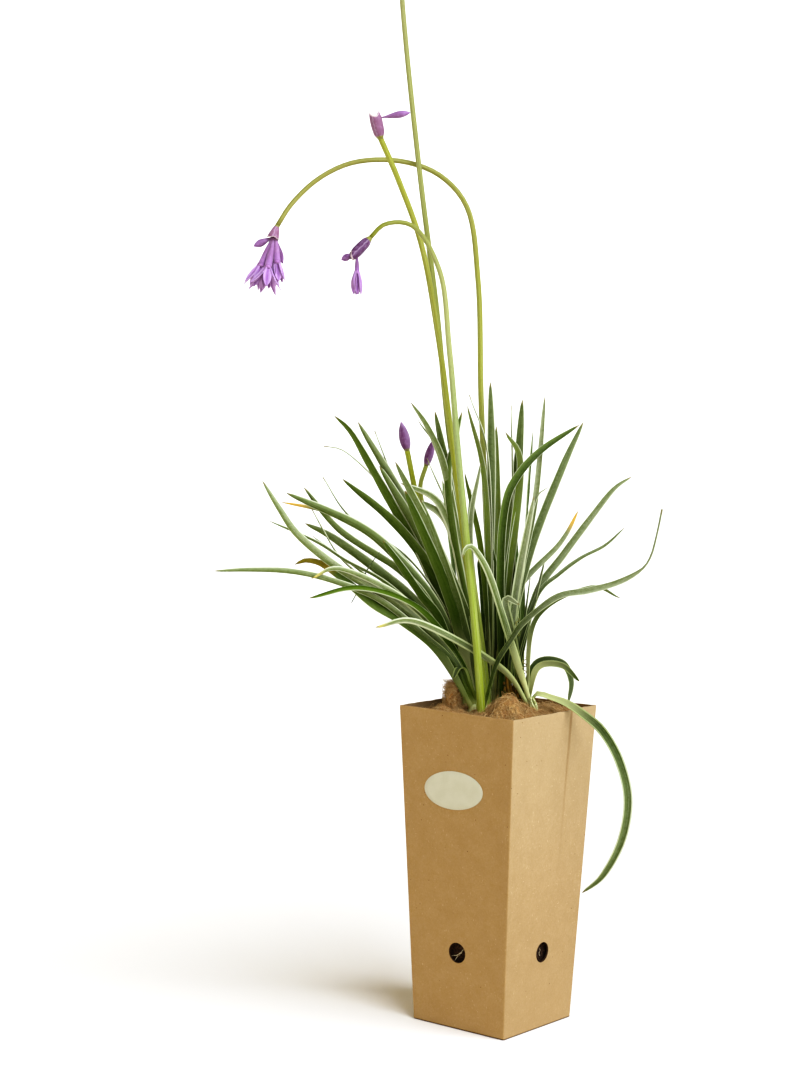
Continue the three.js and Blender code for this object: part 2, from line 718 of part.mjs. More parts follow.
const labelGap = 0.1;
const labelThickness = 0.3;
const oval = new THREE.CylinderGeometry(0.5, 0.5, labelThickness, 32)
  .scale(LABEL_SIZE[0], 1, LABEL_SIZE[1])
  .rotateY(degrees(LABEL_TILT));
const label = named("label", oval, paper);
const labelOut = wallHalf(LABEL_CENTRE[1]) + (labelGap + labelThickness / 2) / Math.cos(wallLean);
label.position.set(LABEL_CENTRE[0], -labelOut, LABEL_CENTRE[1]);
label.rotation.x = wallLean;
part.add(label);

const holes = [];
const wellHeight = 60;
function addHole([x, y], radius) {
  const well = rod(radius + HOLE_PLAY, wellHeight, CROWN_SIDES).rotateX(Math.PI / 2);
  well.rotateZ(degrees(PLANT_TURN));
  holes.push(toSolid(well).translate([...fromPlant(x, y), MIX_TOP - 10 + wellHeight / 2]));
}

for (const [name, shoot] of Object.entries(SHOOTS)) {
  plant.add(named(name, toGeometry(shootSolid(shoot)), leafGreen));
  addHole(shoot.root, shoot.crown);
}
for (const [name, shoot] of Object.entries(BACK_SHOOTS)) {
  shoot.leaves = ruledLeaves(shoot.count, shoot.seed);
  plant.add(named(name, toGeometry(shootSolid(shoot)), leafGreen));
  addHole(shoot.root, shoot.crown);
}
for (const [name, [base, top, points]] of Object.entries(STALKS)) {
  const line = stalkLine(points);
  const stalk = tube(line, base, top, STALK_STEPS, STALK_SIDES);
  plant.add(named(name, toGeometry(stalk), stalkGreen));
  addHole(points[0], base);
  const headName = name.replace("stalk", "head");
  const head = HEADS[headName];
  const petals = head.profile === CLOSED_BRACT ? budPurple : lilac;
  plant.add(named(headName, toGeometry(headSolid(line, head)), petals));
}
part.add(named("coir", toGeometry(coirSolid(holes)), coconutFibre));

export default part;
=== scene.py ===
"""Variegated society garlic in a tapered kraft board carton, dressed over its CAD frame."""

import math
from collections import namedtuple

import bpy
import numpy as np
from mathutils import Matrix


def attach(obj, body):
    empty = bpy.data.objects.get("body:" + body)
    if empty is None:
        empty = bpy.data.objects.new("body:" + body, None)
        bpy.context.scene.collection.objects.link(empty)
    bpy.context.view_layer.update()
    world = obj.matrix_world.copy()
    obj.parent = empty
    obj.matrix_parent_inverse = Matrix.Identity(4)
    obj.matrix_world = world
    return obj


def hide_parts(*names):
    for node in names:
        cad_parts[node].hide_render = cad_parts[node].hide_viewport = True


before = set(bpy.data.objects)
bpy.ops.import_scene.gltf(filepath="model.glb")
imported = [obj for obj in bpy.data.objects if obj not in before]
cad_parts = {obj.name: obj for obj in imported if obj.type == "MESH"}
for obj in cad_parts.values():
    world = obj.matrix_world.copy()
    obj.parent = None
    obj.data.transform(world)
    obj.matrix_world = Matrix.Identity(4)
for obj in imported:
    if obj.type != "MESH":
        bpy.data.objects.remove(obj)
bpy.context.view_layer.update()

# Lengths below are in millimetres, as in the CAD source, and turn to metres when a mesh is made
MM = 0.001
CARTON_HEIGHT = 225
BASE_WIDTH = 80
RIM_WIDTH = 100
BOARD = 1.5
VENT_RADIUS = 7
VENT_HEIGHT = 55
GLUE_FLAP_WIDTH = 30
LABEL_SIZE = (51, 27)
LABEL_CENTRE = (-2, 170)
LABEL_TILT = -4
MIX_TOP = 208
COIR_EDGE = 217
CROWN = 226
PLANT_TURN = math.radians(39)

# The photograph's frame and the camera that took it, found from the carton's corners and vents
PHOTO_HEIGHT = 1067
FOCAL_PIXELS = 2243.4
SENSOR = 36
CAMERA_AZIMUTH = math.radians(39.108)
CAMERA_ELEVATION = math.radians(3.978)
CAMERA_ROLL = math.radians(1.024)
CAMERA_PLACE = (938.0, -1267.8, 455.1)
FLOOR_RADIUS = 2600
SWEEP_RADIUS = 2400
SKY_COLOR = (1, 0.79, 0.42, 1)
SKY_STRENGTH = 0.2
SUN_COLOR = (0.93, 1.03, 1.3)
SUN_STRENGTH = 5.35
SUN_SPREAD = math.radians(60)
SUN_LEAN = math.radians(50)
SUN_TURN = math.radians(84)
# The photograph's contrast: darker and more saturated shades, as brightness in and out
TONE_CURVE = (
    (0.02, 0.008), (0.05, 0.028), (0.1, 0.07), (0.2, 0.17), (0.3, 0.285), (0.45, 0.46), (0.6, 0.64),
    (0.8, 0.85),
)


def link(obj):
    bpy.context.scene.collection.objects.link(obj)
    return obj


def turn_angles(count):
    """Angles spaced evenly round a full turn."""
    return np.linspace(0, 2 * math.pi, count, endpoint=False)


def smoothstep(x, low, high):
    s = np.clip((x - low) / (high - low), 0, 1)
    return s * s * (3 - 2 * s)


def mix(a, b, t):
    return a + (b - a) * t


def unit(v):
    v = np.asarray(v, float)
    return v / np.linalg.norm(v, axis=-1, keepdims=True)


def to_row(points):
    """Turns points from the plant's frame, which faces the camera, into the carton's."""
    points = np.asarray(points, float)
    c, s = math.cos(PLANT_TURN), math.sin(PLANT_TURN)
    x, y = points[..., 0], points[..., 1]
    return np.stack([c * x - s * y, s * x + c * y, points[..., 2]], -1)


def to_plant(x, y):
    c, s = math.cos(PLANT_TURN), math.sin(PLANT_TURN)
    return c * x + s * y, -s * x + c * y


def ripple(seed, count, longest, shortest):
    """A smooth repeatable bumpy function of a place, about -1 to 1."""
    draw = np.random.default_rng(seed)
    waves = []
    for k in range(count):
        length = longest * (shortest / longest) ** (k / (count - 1))
        waves.append((unit(draw.normal(size=3)) * 2 * math.pi / length, draw.uniform(0, 6.28)))
    return lambda p: sum(np.sin(np.asarray(p) @ w + phase) for w, phase in waves) / count


def spline(points, centripetal=False, samples=60):
    """Dense points of the Catmull-Rom curve that the CAD source uses."""
    p = np.asarray(points, float)
    p = np.vstack([2 * p[0] - p[1], p, 2 * p[-1] - p[-2]])
    t = np.linspace(0, 1, samples, endpoint=False)[:, None]
    out = []
    for a, b, c, d in zip(p, p[1:], p[2:], p[3:]):
        if centripetal:
            pairs = ((a, b), (b, c), (c, d))
            s0, s1, s2 = (max(np.linalg.norm(v - u), 1e-9) ** 0.5 for u, v in pairs)
            m1 = ((b - a) / s0 - (c - a) / (s0 + s1) + (c - b) / s1) * s1
            m2 = ((c - b) / s1 - (d - b) / (s1 + s2) + (d - c) / s2) * s1
        else:
            m1, m2 = (c - a) / 2, (d - b) / 2
        out.append(
            b * (2 * t**3 - 3 * t**2 + 1)
            + c * (3 * t**2 - 2 * t**3)
            + m1 * (t**3 - 2 * t**2 + t)
            + m2 * (t**3 - t**2)
        )
    return np.vstack([*out, p[-2:-1]])


def along(curve, shares):
    """Points and unit tangents of a dense curve at shares of its length, with its length."""
    steps = np.linalg.norm(np.diff(curve, axis=0), axis=1)
    run = np.concatenate([[0], np.cumsum(steps)])
    at = np.asarray(shares) * run[-1]

    def point(s):
        return np.stack([np.interp(s, run, curve[:, k]) for k in range(curve.shape[1])], -1)

    reach = run[-1] / 200
    ahead = point(np.minimum(at + reach, run[-1]))
    behind = point(np.maximum(at - reach, 0))
    return point(at), unit(ahead - behind), run[-1]


class Build:
    """Gathers lofted shapes, with a value for each vertex, into one mesh."""

    def __init__(self):
        self.points = []
        self.faces = []
        self.values = {}
        self.count = 0

    def shape(self, points, faces, **values):
        """Adds points and faces. A value is one number, or one for each point."""
        points = np.asarray(points, float).reshape(-1, 3)
        self.faces += [[v + self.count for v in face] for face in faces]
        self.points.append(points)
        for name, value in values.items():
            self.values.setdefault(name, []).append(np.broadcast_to(np.ravel(value), len(points)))
        self.count += len(points)

    def loft(self, rings, ends=(True, True), **values):
        """Adds a closed skin over rings of points, with flat ends where asked.

        A value is one number, a row with one for each ring, or a table of rings by points.
        """
        rings = np.asarray(rings, float)
        n, k, _ = rings.shape
        ring = np.arange(k)
        faces = []
        for i in range(n - 1):
            a = i * k + ring
            b = i * k + (ring + 1) % k
            faces += np.stack([a, b, b + k, a + k], 1).tolist()
        if ends[0]:
            faces.append(ring[::-1].tolist())
        if ends[1]:
            faces.append(((n - 1) * k + ring).tolist())
        for name, value in values.items():
            value = np.asarray(value, float)
            values[name] = np.broadcast_to(value[:, None] if value.ndim == 1 else value, (n, k))
        self.shape(rings, faces, **values)

    def mesh(self, name):
        mesh = bpy.data.meshes.new(name)
        mesh.from_pydata((np.vstack(self.points) * MM).tolist(), [], self.faces)
        return mesh

    def piece(self, name, material, slot_name, *nodes, smooth=True):
        mesh = self.mesh(name)
        for label, columns in self.values.items():
            attribute = mesh.attributes.new(label, "FLOAT", "POINT")
            attribute.data.foreach_set("value", np.concatenate(columns).astype(np.float32))
        mesh.validate()
        mesh.polygons.foreach_set("use_smooth", [smooth] * len(mesh.polygons))
        mesh.materials.append(material)
        obj = link(bpy.data.objects.new(name, mesh))
        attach(obj, "root")
        if nodes:
            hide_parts(*nodes)


class Shader:
    """Builds one material's nodes. A value that is a socket is linked, any other is set."""

    def __init__(self, name, **constants):
        self.material = bpy.data.materials.new(name)
        self.material.use_nodes = True
        self.tree = self.material.node_tree
        self.tree.nodes.clear()
        output = self.tree.nodes.new("ShaderNodeOutputMaterial")
        self.surface = self.node("BsdfPrincipled", **constants)
        self.tree.links.new(self.surface.outputs[0], output.inputs[0])

    def node(self, kind, settings=(), **inputs):
        made = self.tree.nodes.new("ShaderNode" + kind)
        for key, value in dict(settings).items():
            setattr(made, key, value)
        for key, value in inputs.items():
            self.put(made.inputs[key.replace("_", " ")], value)
        return made

    def put(self, socket, value):
        if isinstance(value, bpy.types.NodeSocket):
            self.tree.links.new(value, socket)
        else:
            socket.default_value = value

    def attributes(self, *names):
        return [self.node("Attribute", {"attribute_name": name}).outputs["Fac"] for name in names]

    def place(self):
        """The object's own coordinates, in millimetres."""
        coordinates = self.node("TexCoord").outputs["Object"]
        return self.stretch(coordinates, (1000, 1000, 1000))

    def stretch(self, vector, by):
        node = self.node("VectorMath", {"operation": "MULTIPLY"})
        self.put(node.inputs[0], vector)
        node.inputs[1].default_value = by
        return node.outputs[0]

    def parts(self, vector):
        return self.node("SeparateXYZ", Vector=vector).outputs

    def join(self, x, y, z=0.0):
        return self.node("CombineXYZ", X=x, Y=y, Z=z).outputs[0]

    def noise(self, vector, scale, detail, roughness=0.5, distortion=0.0):
        kind = {"Scale": scale, "Detail": detail, "Roughness": roughness, "Distortion": distortion}
        return self.node("TexNoise", Vector=vector, **kind).outputs[0]

    def cells(self, vector, scale):
        """Distance to the nearest of scattered points."""
        return self.node("TexVoronoi", Vector=vector, Scale=scale).outputs["Distance"]

    def math(self, operation, a, b=0.0):
        node = self.node("Math", {"operation": operation})
        self.put(node.inputs[0], a)
        self.put(node.inputs[1], b)
        return node.outputs[0]

    def times(self, a, b):
        return self.math("MULTIPLY", a, b)

    def plus(self, a, b):
        return self.math("ADD", a, b)

    def minus(self, a, b):
        return self.math("SUBTRACT", a, b)

    def size(self, a):
        return self.math("ABSOLUTE", a)

    def step(self, value, low, high, to_low=0.0, to_high=1.0):
        node = self.node("MapRange", {"interpolation_type": "SMOOTHSTEP"}, Value=value)
        for key, setting in zip(("From Min", "From Max", "To Min", "To Max"), (low, high, to_low, to_high)):
            self.put(node.inputs[key], setting)
        return node.outputs[0]

    def blend(self, factor, a, b):
        """Goes from one colour to another. Three whole channels are a colour as a picture shows it."""
        node = self.node("Mix", {"data_type": "RGBA"})
        self.put(node.inputs[0], factor)
        for index, color in ((6, a), (7, b)):
            shown = isinstance(color, tuple) and len(color) == 3
            self.put(node.inputs[index], srgb(*color) if shown else color)
        return node.outputs[2]

    def layers(self, color, *rows):
        """Lays tints over a colour: each by a value, its two steps and the tint's share at each."""
        for value, low, high, to_low, to_high, tint in rows:
            color = self.blend(self.step(value, low, high, to_low, to_high), color, tint)
        return color

    def bump(self, height, distance, strength):
        node = self.node("Bump", Height=height, Distance=distance * MM, Strength=strength)
        self.put(self.surface.inputs["Normal"], node.outputs[0])

    def finish(self, color, roughness):
        self.put(self.surface.inputs["Base Color"], color)
        self.put(self.surface.inputs["Roughness"], roughness)
        return self.material


def srgb(*channels):
    """A colour as a picture shows it, from 0 to 255, as the light it stands for."""
    c = np.array(channels) / 255
    linear = np.where(c <= 0.04045, c / 12.92, ((c + 0.055) / 1.055) ** 2.4)
    return (*linear.tolist(), 1.0)


# Camera, light and floor


def camera_axes():
    """The camera's right, up and forward."""
    sa, ca = math.sin(CAMERA_AZIMUTH), math.cos(CAMERA_AZIMUTH)
    se, ce = math.sin(CAMERA_ELEVATION), math.cos(CAMERA_ELEVATION)
    right = np.array([ca, sa, 0])
    up = np.array([-sa * se, ca * se, ce])
    forward = np.array([-sa * ce, ca * ce, -se])
    cr, sr = math.cos(CAMERA_ROLL), math.sin(CAMERA_ROLL)
    return right * cr + up * sr, up * cr - right * sr, forward


def make_camera():
    data = bpy.data.cameras.new("camera")
    data.sensor_width = SENSOR
    data.lens = FOCAL_PIXELS * SENSOR / PHOTO_HEIGHT
    data.clip_start, data.clip_end = 0.05, 30
    camera = bpy.data.objects.new("camera", data)
    right, up, forward = camera_axes()
    matrix = Matrix(np.transpose([right, up, -forward]).tolist()).to_4x4()
    matrix.translation = [v * MM for v in CAMERA_PLACE]
    camera.matrix_world = matrix
    link(camera)
    bpy.context.scene.camera = camera


def make_floor():
    """A round pale floor whose edge sweeps up into a low wall."""
    profile = [(0, 0), (FLOOR_RADIUS, 0)]
    for k in range(1, 13):
        a = math.pi / 2 * k / 12
        profile.append((FLOOR_RADIUS + SWEEP_RADIUS * math.sin(a), SWEEP_RADIUS * (1 - math.cos(a))))
    a = turn_angles(96)
    rings = [
        np.stack([max(radius, 1) * np.cos(a), max(radius, 1) * np.sin(a), np.full(len(a), z)], -1)
        for radius, z in profile
    ]
    build = Build()
    build.loft(rings, ends=(True, False))
    mesh = build.mesh("floor")
    mesh.polygons.foreach_set("use_smooth", [True] * len(mesh.polygons))
    shader = Shader("floor_white")
    soft = shader.noise(shader.place(), 0.004, 2)
    color = shader.blend(soft, (0.93, 0.88, 0.75, 1), (0.95, 0.9, 0.77, 1))
    mesh.materials.append(shader.finish(color, 0.9))
    floor = link(bpy.data.objects.new("floor", mesh))


def make_light():
    """A dim warm sky and a broad soft sun, and the contrast of the photograph."""
    world = bpy.data.worlds.new("studio")
    bpy.context.scene.world = world
    world.use_nodes = True
    background = world.node_tree.nodes["Background"]
    background.inputs["Color"].default_value = SKY_COLOR
    background.inputs["Strength"].default_value = SKY_STRENGTH
    view = bpy.context.scene.view_settings
    view.view_transform = "Standard"
    view.use_curve_mapping = True
    for dark, bright in TONE_CURVE:
        view.curve_mapping.curves[3].points.new(dark, bright)
    view.curve_mapping.update()

    data = bpy.data.lights.new("soft_sun", "SUN")
    data.energy = SUN_STRENGTH
    data.angle = SUN_SPREAD
    data.color = SUN_COLOR
    sun = link(bpy.data.objects.new("soft_sun", data))
    sun.rotation_euler = (SUN_LEAN, 0, SUN_TURN)


make_camera()
make_floor()
make_light()


# Leaves


def mulberry(seed):
    """The same seeded draws, from 0 to 1, as the CAD source makes."""
    state = seed

    def draw():
        nonlocal state
        state = (state + 0x6D2B79F5) & 0xFFFFFFFF
        t = (state ^ (state >> 15)) * (1 | state) & 0xFFFFFFFF
        t = (t + ((t ^ (t >> 7)) * (61 | t) & 0xFFFFFFFF) & 0xFFFFFFFF) ^ t
        return ((t ^ (t >> 14)) & 0xFFFFFFFF) / 4294967296

    return draw


def ruled_leaves(count, seed):
    draw = mulberry(seed)
    tones = ("dark", "mid", "dark", "edge", "mid", "dark")
    rows = []
    for k in range(count):
        lean = math.radians(mix(6, 62, (k + 0.6 * draw()) / count))
        length = mix(150, 205, draw())
        droop = mix(10, 40, draw())
        half = (length * 0.5 * math.sin(lean), CROWN + length * 0.5 * math.cos(lean))
        tip = (length * math.sin(lean) + 0.4 * droop, CROWN + length * math.cos(lean) - droop)
        rows.append((mix(4.5, 6.5, draw()), 70, mix(15, 60, draw()), tones[k % 6], [half, tip]))
    return rows


# A leaf is (width, roll at the base, roll at the tip, tone, points[, direction[, end of the blade]]), as in
# the CAD source. Its points go out from the shoot and up, and past the end of its blade it is a dry thread.
Shoot = namedtuple("Shoot", "root direction crown sway leaves")
SHOOTS = {
    "shoot_left_low": Shoot((-19, -15), 191, 4.5, 7, [
        (6, 35, 15, "grey", [(8, 250), (24, 271), (53, 297), (96, 323), (124, 345), (138, 364),
            (150, 383)]),
        (6.5, 35, -20, "dark olive", [(24, 264), (49, 285), (70, 297), (87, 311), (106, 325), (118, 328),
            (126, 325)]),
        (4.5, 30, 15, "grey", [(13, 256), (35, 276), (67, 301), (102, 315), (130, 321), (158, 322),
            (183, 321)]),
        (4.5, 30, 5, "pale yellow", [(11, 259), (31, 284), (57, 306), (96, 323), (116, 316)]),
        (5, 40, -40, "dark", [(8, 256), (39, 295), (81, 310), (118, 303)]),
        (7, 90, 90, "pale", [(4, 243), (7, 252), (11, 253), (13, 246)], 230),
    ]),
    "shoot_left_mid": Shoot((-25, 2), 181, 4.5, 7, [
        (6.5, 25, 30, "mid", [(6, 257), (25, 296), (46, 319), (89, 347), (115, 377)]),
        (7.5, 25, 15, "mid", [(5, 260), (21, 296), (47, 327), (75, 350), (127, 373)]),
        (4, 30, 15, "grey orange", [(6, 264), (23, 300), (50, 333), (82, 353), (103, 361), (131, 366)]),
        (7.5, 25, 20, "mid", [(8, 255), (25, 285), (46, 307), (92, 340), (114, 351)]),
        (6.5, 20, 20, "dark", [(16, 281), (31, 302), (46, 323), (59, 341)]),
        (3.5, 40, 40, "mid", [(10, 253), (32, 288), (57, 311), (85, 326), (106, 339), (139, 353)]),
        (3, 60, 60, "mid", [(6, 251), (23, 279), (71, 316), (109, 343)]),
        (2.6, 60, 60, "thin", [(4, 267), (18, 299), (43, 330), (82, 356), (102, 384)]),
        (2.6, 60, 60, "thin", [(8, 253), (28, 281), (53, 301), (78, 318), (92, 332), (109, 361)]),
    ]),
    "shoot_left_high": Shoot((-15, 9), 170, 4.5, 3, [
        (8, 25, 25, "dark", [(7, 263), (22, 301), (58, 348), (100, 382)]),
        (7.5, 30, 20, "dark", [(9, 266), (32, 310), (49, 340), (64, 365), (82, 395), (95, 416),
            (107, 427)]),
        (7.5, 30, 20, "mid", [(7, 270), (43, 347), (90, 423)]),
        (3, 60, 60, "thin", [(7, 273), (28, 319), (47, 351), (62, 379), (78, 417)]),
        (2.5, 60, 60, "thin", [(12, 266), (35, 308), (58, 354), (73, 378), (88, 393), (102, 403),
            (115, 405)]),
        (8, 25, 20, "mid", [(6, 264), (40, 337), (73, 392)]),
    ]),
    "shoot_left_steep": Shoot((-14, -3), 179, 4.5, 3, [
        (7.5, 20, 20, "mid", [(4, 272), (32, 338), (62, 396)]),
        (8.5, 20, 20, "dark", [(22, 300), (55, 376)]),
        (8.5, 20, 20, "mid", [(16, 293), (44, 370)]),
        (6, 25, 20, "grey", [(3, 272), (13, 321), (21, 363), (29, 397), (40, 421), (52, 438)]),
        (3, 60, 60, "dark", [(12, 310), (28, 394), (47, 426)]),
        (7.5, 20, 20, "mid", [(3, 272), (13, 321), (26, 391), (35, 432)]),
        (6.5, 30, -5, "pale", [(4, 264), (12, 307), (18, 338), (27, 361), (37, 373), (58, 381)]),
        (6, 30, -20, "pale", [(4, 264), (11, 307), (25, 354), (46, 368), (48, 358)]),
        (6.5, 25, 20, "edge", [(5, 272), (19, 340), (25, 385), (20, 414), (16, 432)]),
        (2.5, 60, 60, "grey", [(2, 272), (19, 349), (40, 399)]),
    ]),
    "shoot_middle": Shoot((-2, 10), 2, 5.5, 3, [
        (7, 30, 10, "edge", [(-6, 313), (-6, 391), (-8, 453)]),
        (6, 30, 20, "leafy", [(0, 313), (-3, 422)]),
        (5, 60, 30, "leafy", [(-6, 313), (-11, 387), (-24, 436)]),
        (2.2, 60, 60, "thin", [(-4, 320), (-9, 402), (-23, 444)]),
        (4.5, 60, 20, "pale", [(-20, 338), (-14, 396)]),
        (5, 70, 40, "rich", [(-11, 327), (-25, 389)]),
        (7.5, 30, 20, "rich", [(4, 327), (12, 386), (15, 441)]),
        (6.5, 35, 10, "rich", [(4, 271), (7, 313), (11, 349), (14, 398), (3, 418)]),
        (2.2, 60, 60, "thin", [(2, 270), (9, 363), (7, 437)]),
        (6.5, 30, 30, "dark", [(0, 270), (0, 306), (-5, 338)]),
        (6.5, 25, 30, "dark", [(-7, 270), (-10, 306), (-14, 327)]),
        (6, 30, 20, "rich", [(6, 270), (10, 306), (11, 338)]),
    ]),
    "shoot_right_high": Shoot((6, 1), 14, 4.5, 6, [
        (6, 45, 25, "dark", [(-7, 321), (-5, 366), (3, 387), (20, 406), (47, 424)]),
        (6.5, 40, 30, "mid", [(0, 271), (16, 336), (38, 392), (54, 426)]),
        (4.5, 60, 30, "grey", [(7, 307), (18, 370), (24, 444)]),
        (6, 30, 20, "pale", [(4, 300), (16, 373)]),
        (2.5, 60, 60, "grey", [(8, 307), (17, 367), (27, 380)]),
    ]),
    "shoot_right_back": Shoot((16, 16), 8, 4.5, 6, [
        (5.5, 55, 30, "grey", [(-2, 256), (11, 304), (29, 330), (50, 358), (66, 378), (79, 387)]),
        (4.5, 60, 20, "grey orange", [(-8, 296), (26, 340), (38, 363)]),
        (3.5, 60, 45, "mid", [(-2, 260), (11, 302), (26, 317), (42, 329), (59, 338), (73, 351)]),
        (3, 60, 60, "pale", [(0, 253), (16, 328)]),
        (2.2, 60, 60, "thin", [(-1, 253), (6, 314)]),
        (5, 60, 10, "mid", [(11, 253), (29, 254), (36, 241), (34, 226)]),
    ]),
    "shoot_right_low": Shoot((22, -10), -6, 4.5, 3, [
        (6.5, 60, 0, "light", [(-14, 276), (-19, 301), (-9, 298)]),
        (3.5, 60, -20, "leafy", [(2, 287), (39, 311), (61, 304)]),
        (4.5, 60, 0, "fresh", [(4, 253), (21, 256), (34, 245)]),
        (6.5, 50, 20, "trail", [(4, 235), (17, 233), (28, 230), (39, 224), (54, 213), (67, 193),
            (74, 167), (70, 138), (57, 112), (42, 98)], -25),
        (5, 50, 0, "light yellow", [(23, 254), (82, 286), (113, 283)], 195.5),
        (5.5, 50, 0, "light", [(27, 298), (36, 320), (44, 333), (51, 340), (56, 338), (58, 332)], 208),
    ]),
    "shoot_front": Shoot((-8, -21), -3, 3.5, 2, [
        (5.5, 50, 40, "grey", [(5, 256), (15, 274), (24, 287), (46, 305), (67, 310), (87, 316),
            (103, 325), (110, 335), (114, 351), (117, 368)], -6, 0.8),
    ]),
    "back_left": Shoot((-24, 32), 102, 4, 12, ruled_leaves(6, 11)),
    "back_middle": Shoot((-2, 33), 88, 4, 10, ruled_leaves(6, 23)),
    "back_right": Shoot((17, 29), 95, 4, 10, ruled_leaves(6, 37)),
}
SWAY_ORDER = (-1, 1, -0.35, 0.45, 0)

# Each tone is how grey and pale the green middle is, the share of the half width that is cream, and how
# yellow the green is
TONES = {
    "dark": (0.1, 0.11, 0.3), "mid": (0.44, 0.15, 0.15), "grey": (0.72, 0.14, 0), "pale": (0.85, 0.36, 0.1),
    "edge": (0.25, 0.28, 0.2), "fresh": (0.2, 0.3, 0.5), "trail": (0.3, 0.34, 0.42), "thin": (0.6, 0.2, 0),
    "leafy": (0.38, 0.13, 0.62), "rich": (0.16, 0.12, 0.56), "light": (0.85, 0.36, 0.4),
}
# An aged tip is a colour (1 yellow, 2 orange, 3 olive brown) and where along the leaf it starts
AGES = {"yellow": (1, 0.955), "orange": (2, 0.92), "olive": (3, 0.85)}
LEAF_SEED = 100
LEAF_STEPS = 44
LEAF_ACROSS = 9
BLADE_THICKNESS = 0.8
THREAD_SHARE = 0.3
# Layers of a wrapped base: the share of the crown's radius, the height of the end and how far it slants
SHEATH_LAYERS = ((0.95, 218.5, 2.5), (0.8, 221.5, 3.0), (0.62, 225.0, 3.0))
SHEATH_SHAPE = (0.8, 0.88, 0.97, 1.0, 0.96, 0.86)


def blade_width(t, end, least):
    from_base = 0.6 + 0.4 * smoothstep(t, 0, 0.3)
    to_tip = np.sqrt(np.clip(1 - np.clip((t - 0.45) / (end - 0.45), 0, 1) ** 3.2, 0, 1))
    return np.maximum(least, from_base * to_tip)


def blade_rings(centres, side, normal, halves, u, middle, thick):
    """Rings round a thin blade, with the middle height and half thickness at each place across it."""
    heights = np.hstack([middle + thick, (middle - thick)[:, ::-1]])
    widths = np.hstack([u, u[::-1]])
    rings = (
        centres[:, None]
        + side[:, None] * (halves[:, None] * widths)[..., None]
        + normal[:, None] * heights[..., None]
    )
    return rings, widths


def leaf(build, shoot, row, start, sway, draw):
    width, roll_base, roll_tip, tone, points = row[:5]
    direction = math.radians(row[5] if len(row) > 5 else shoot.direction)
    end = row[6] if len(row) > 6 else 1
    out = np.array([math.cos(direction), math.sin(direction), 0])
    across = np.array([-math.sin(direction), math.cos(direction), 0])
    t = np.linspace(0, 1, LEAF_STEPS + 1) ** 0.94
    flat, slope, length = along(spline([(start, CROWN), *points]), t)
    root = np.array([*shoot.root, 0.0])
    centre = root + flat[:, :1] * out + (sway * t**2)[:, None] * across
    centre[:, 2] = flat[:, 1]
    tangent = slope[:, :1] * out + slope[:, 1:] * np.array([0, 0, 1])
    phase = draw.uniform(0, 6.28)
    twist = 5 * np.sin(2 * math.pi * 1.2 * t + phase) * smoothstep(t, 0.1, 0.4)
    roll = np.radians(mix(roll_base, roll_tip, smoothstep(t, 0, 0.6)) + twist)[:, None]
    side = np.cross(tangent, across) * np.cos(roll) + across * np.sin(roll)
    upper = unit(np.cross(tangent, side))

    # Across the leaf the upper side is a shallow channel, deeper where the leaf sheathes the crown
    u = np.cos(np.linspace(0, math.pi, LEAF_ACROSS))
    fold = mix(0.3, draw.uniform(0.07, 0.14), smoothstep(t, 0, 0.25))
    ripples = 0.03 * np.sin(length / 9 * t * 2 * math.pi / 3 + phase)
    # Leaves that have dried to a thread keep that thread to the end
    thready = end < 1 or tone == "thin"
    share = blade_width(t, end, THREAD_SHARE if thready else 0.06)
    half_width = width * share / 2
    thin = BLADE_THICKNESS / 2 * np.minimum(1, (0.6 if thready else 0.35) + share)
    channel = (fold[:, None] * (u**2 - 0.4) + ripples[:, None] * np.abs(u) * u) * 2 * half_width[:, None]
    depth = thin[:, None] * np.sqrt(np.clip(1 - 0.86 * u**4, 0, 1))
    rings, widths = blade_rings(centre, side, upper, half_width, u, channel, depth)
    face = np.concatenate([np.ones(LEAF_ACROSS), np.zeros(LEAF_ACROSS)])
    # The leaf goes on down inside its sheath to the root ball
    buried = [rings[0] * [1, 1, 0] + [0, 0, z] for z in (MIX_TOP + 1, MIX_TOP + 9)]
    buried = [root * [1, 1, 0] + (ring - root * [1, 1, 0]) * [0.8, 0.8, 1] for ring in buried]
    rings = np.concatenate([buried, rings])
    t = np.concatenate([[0, 0], t])
    words = tone.split()
    green, margin, warmth = TONES[words[0]]
    age, aged_from = AGES[words[1]] if len(words) > 1 else (0, 1)
    build.loft(
        rings,
        along=t,
        run=t * length,
        across=widths[None],
        sheen=widths[None] * draw.choice([-1, 1]),
        face=face[None],
        tone=np.clip(green + draw.uniform(-0.12, 0.12), 0, 1),
        margin=np.clip(margin * draw.uniform(0.8, 1.25), 0.06, 0.5),
        warm=np.clip(warmth + draw.uniform(-0.15, 0.15), 0, 1),
        age=age,
        aged=smoothstep(t, aged_from - 0.04, aged_from + 0.03),
        seed=draw.uniform(0, 50),
    )


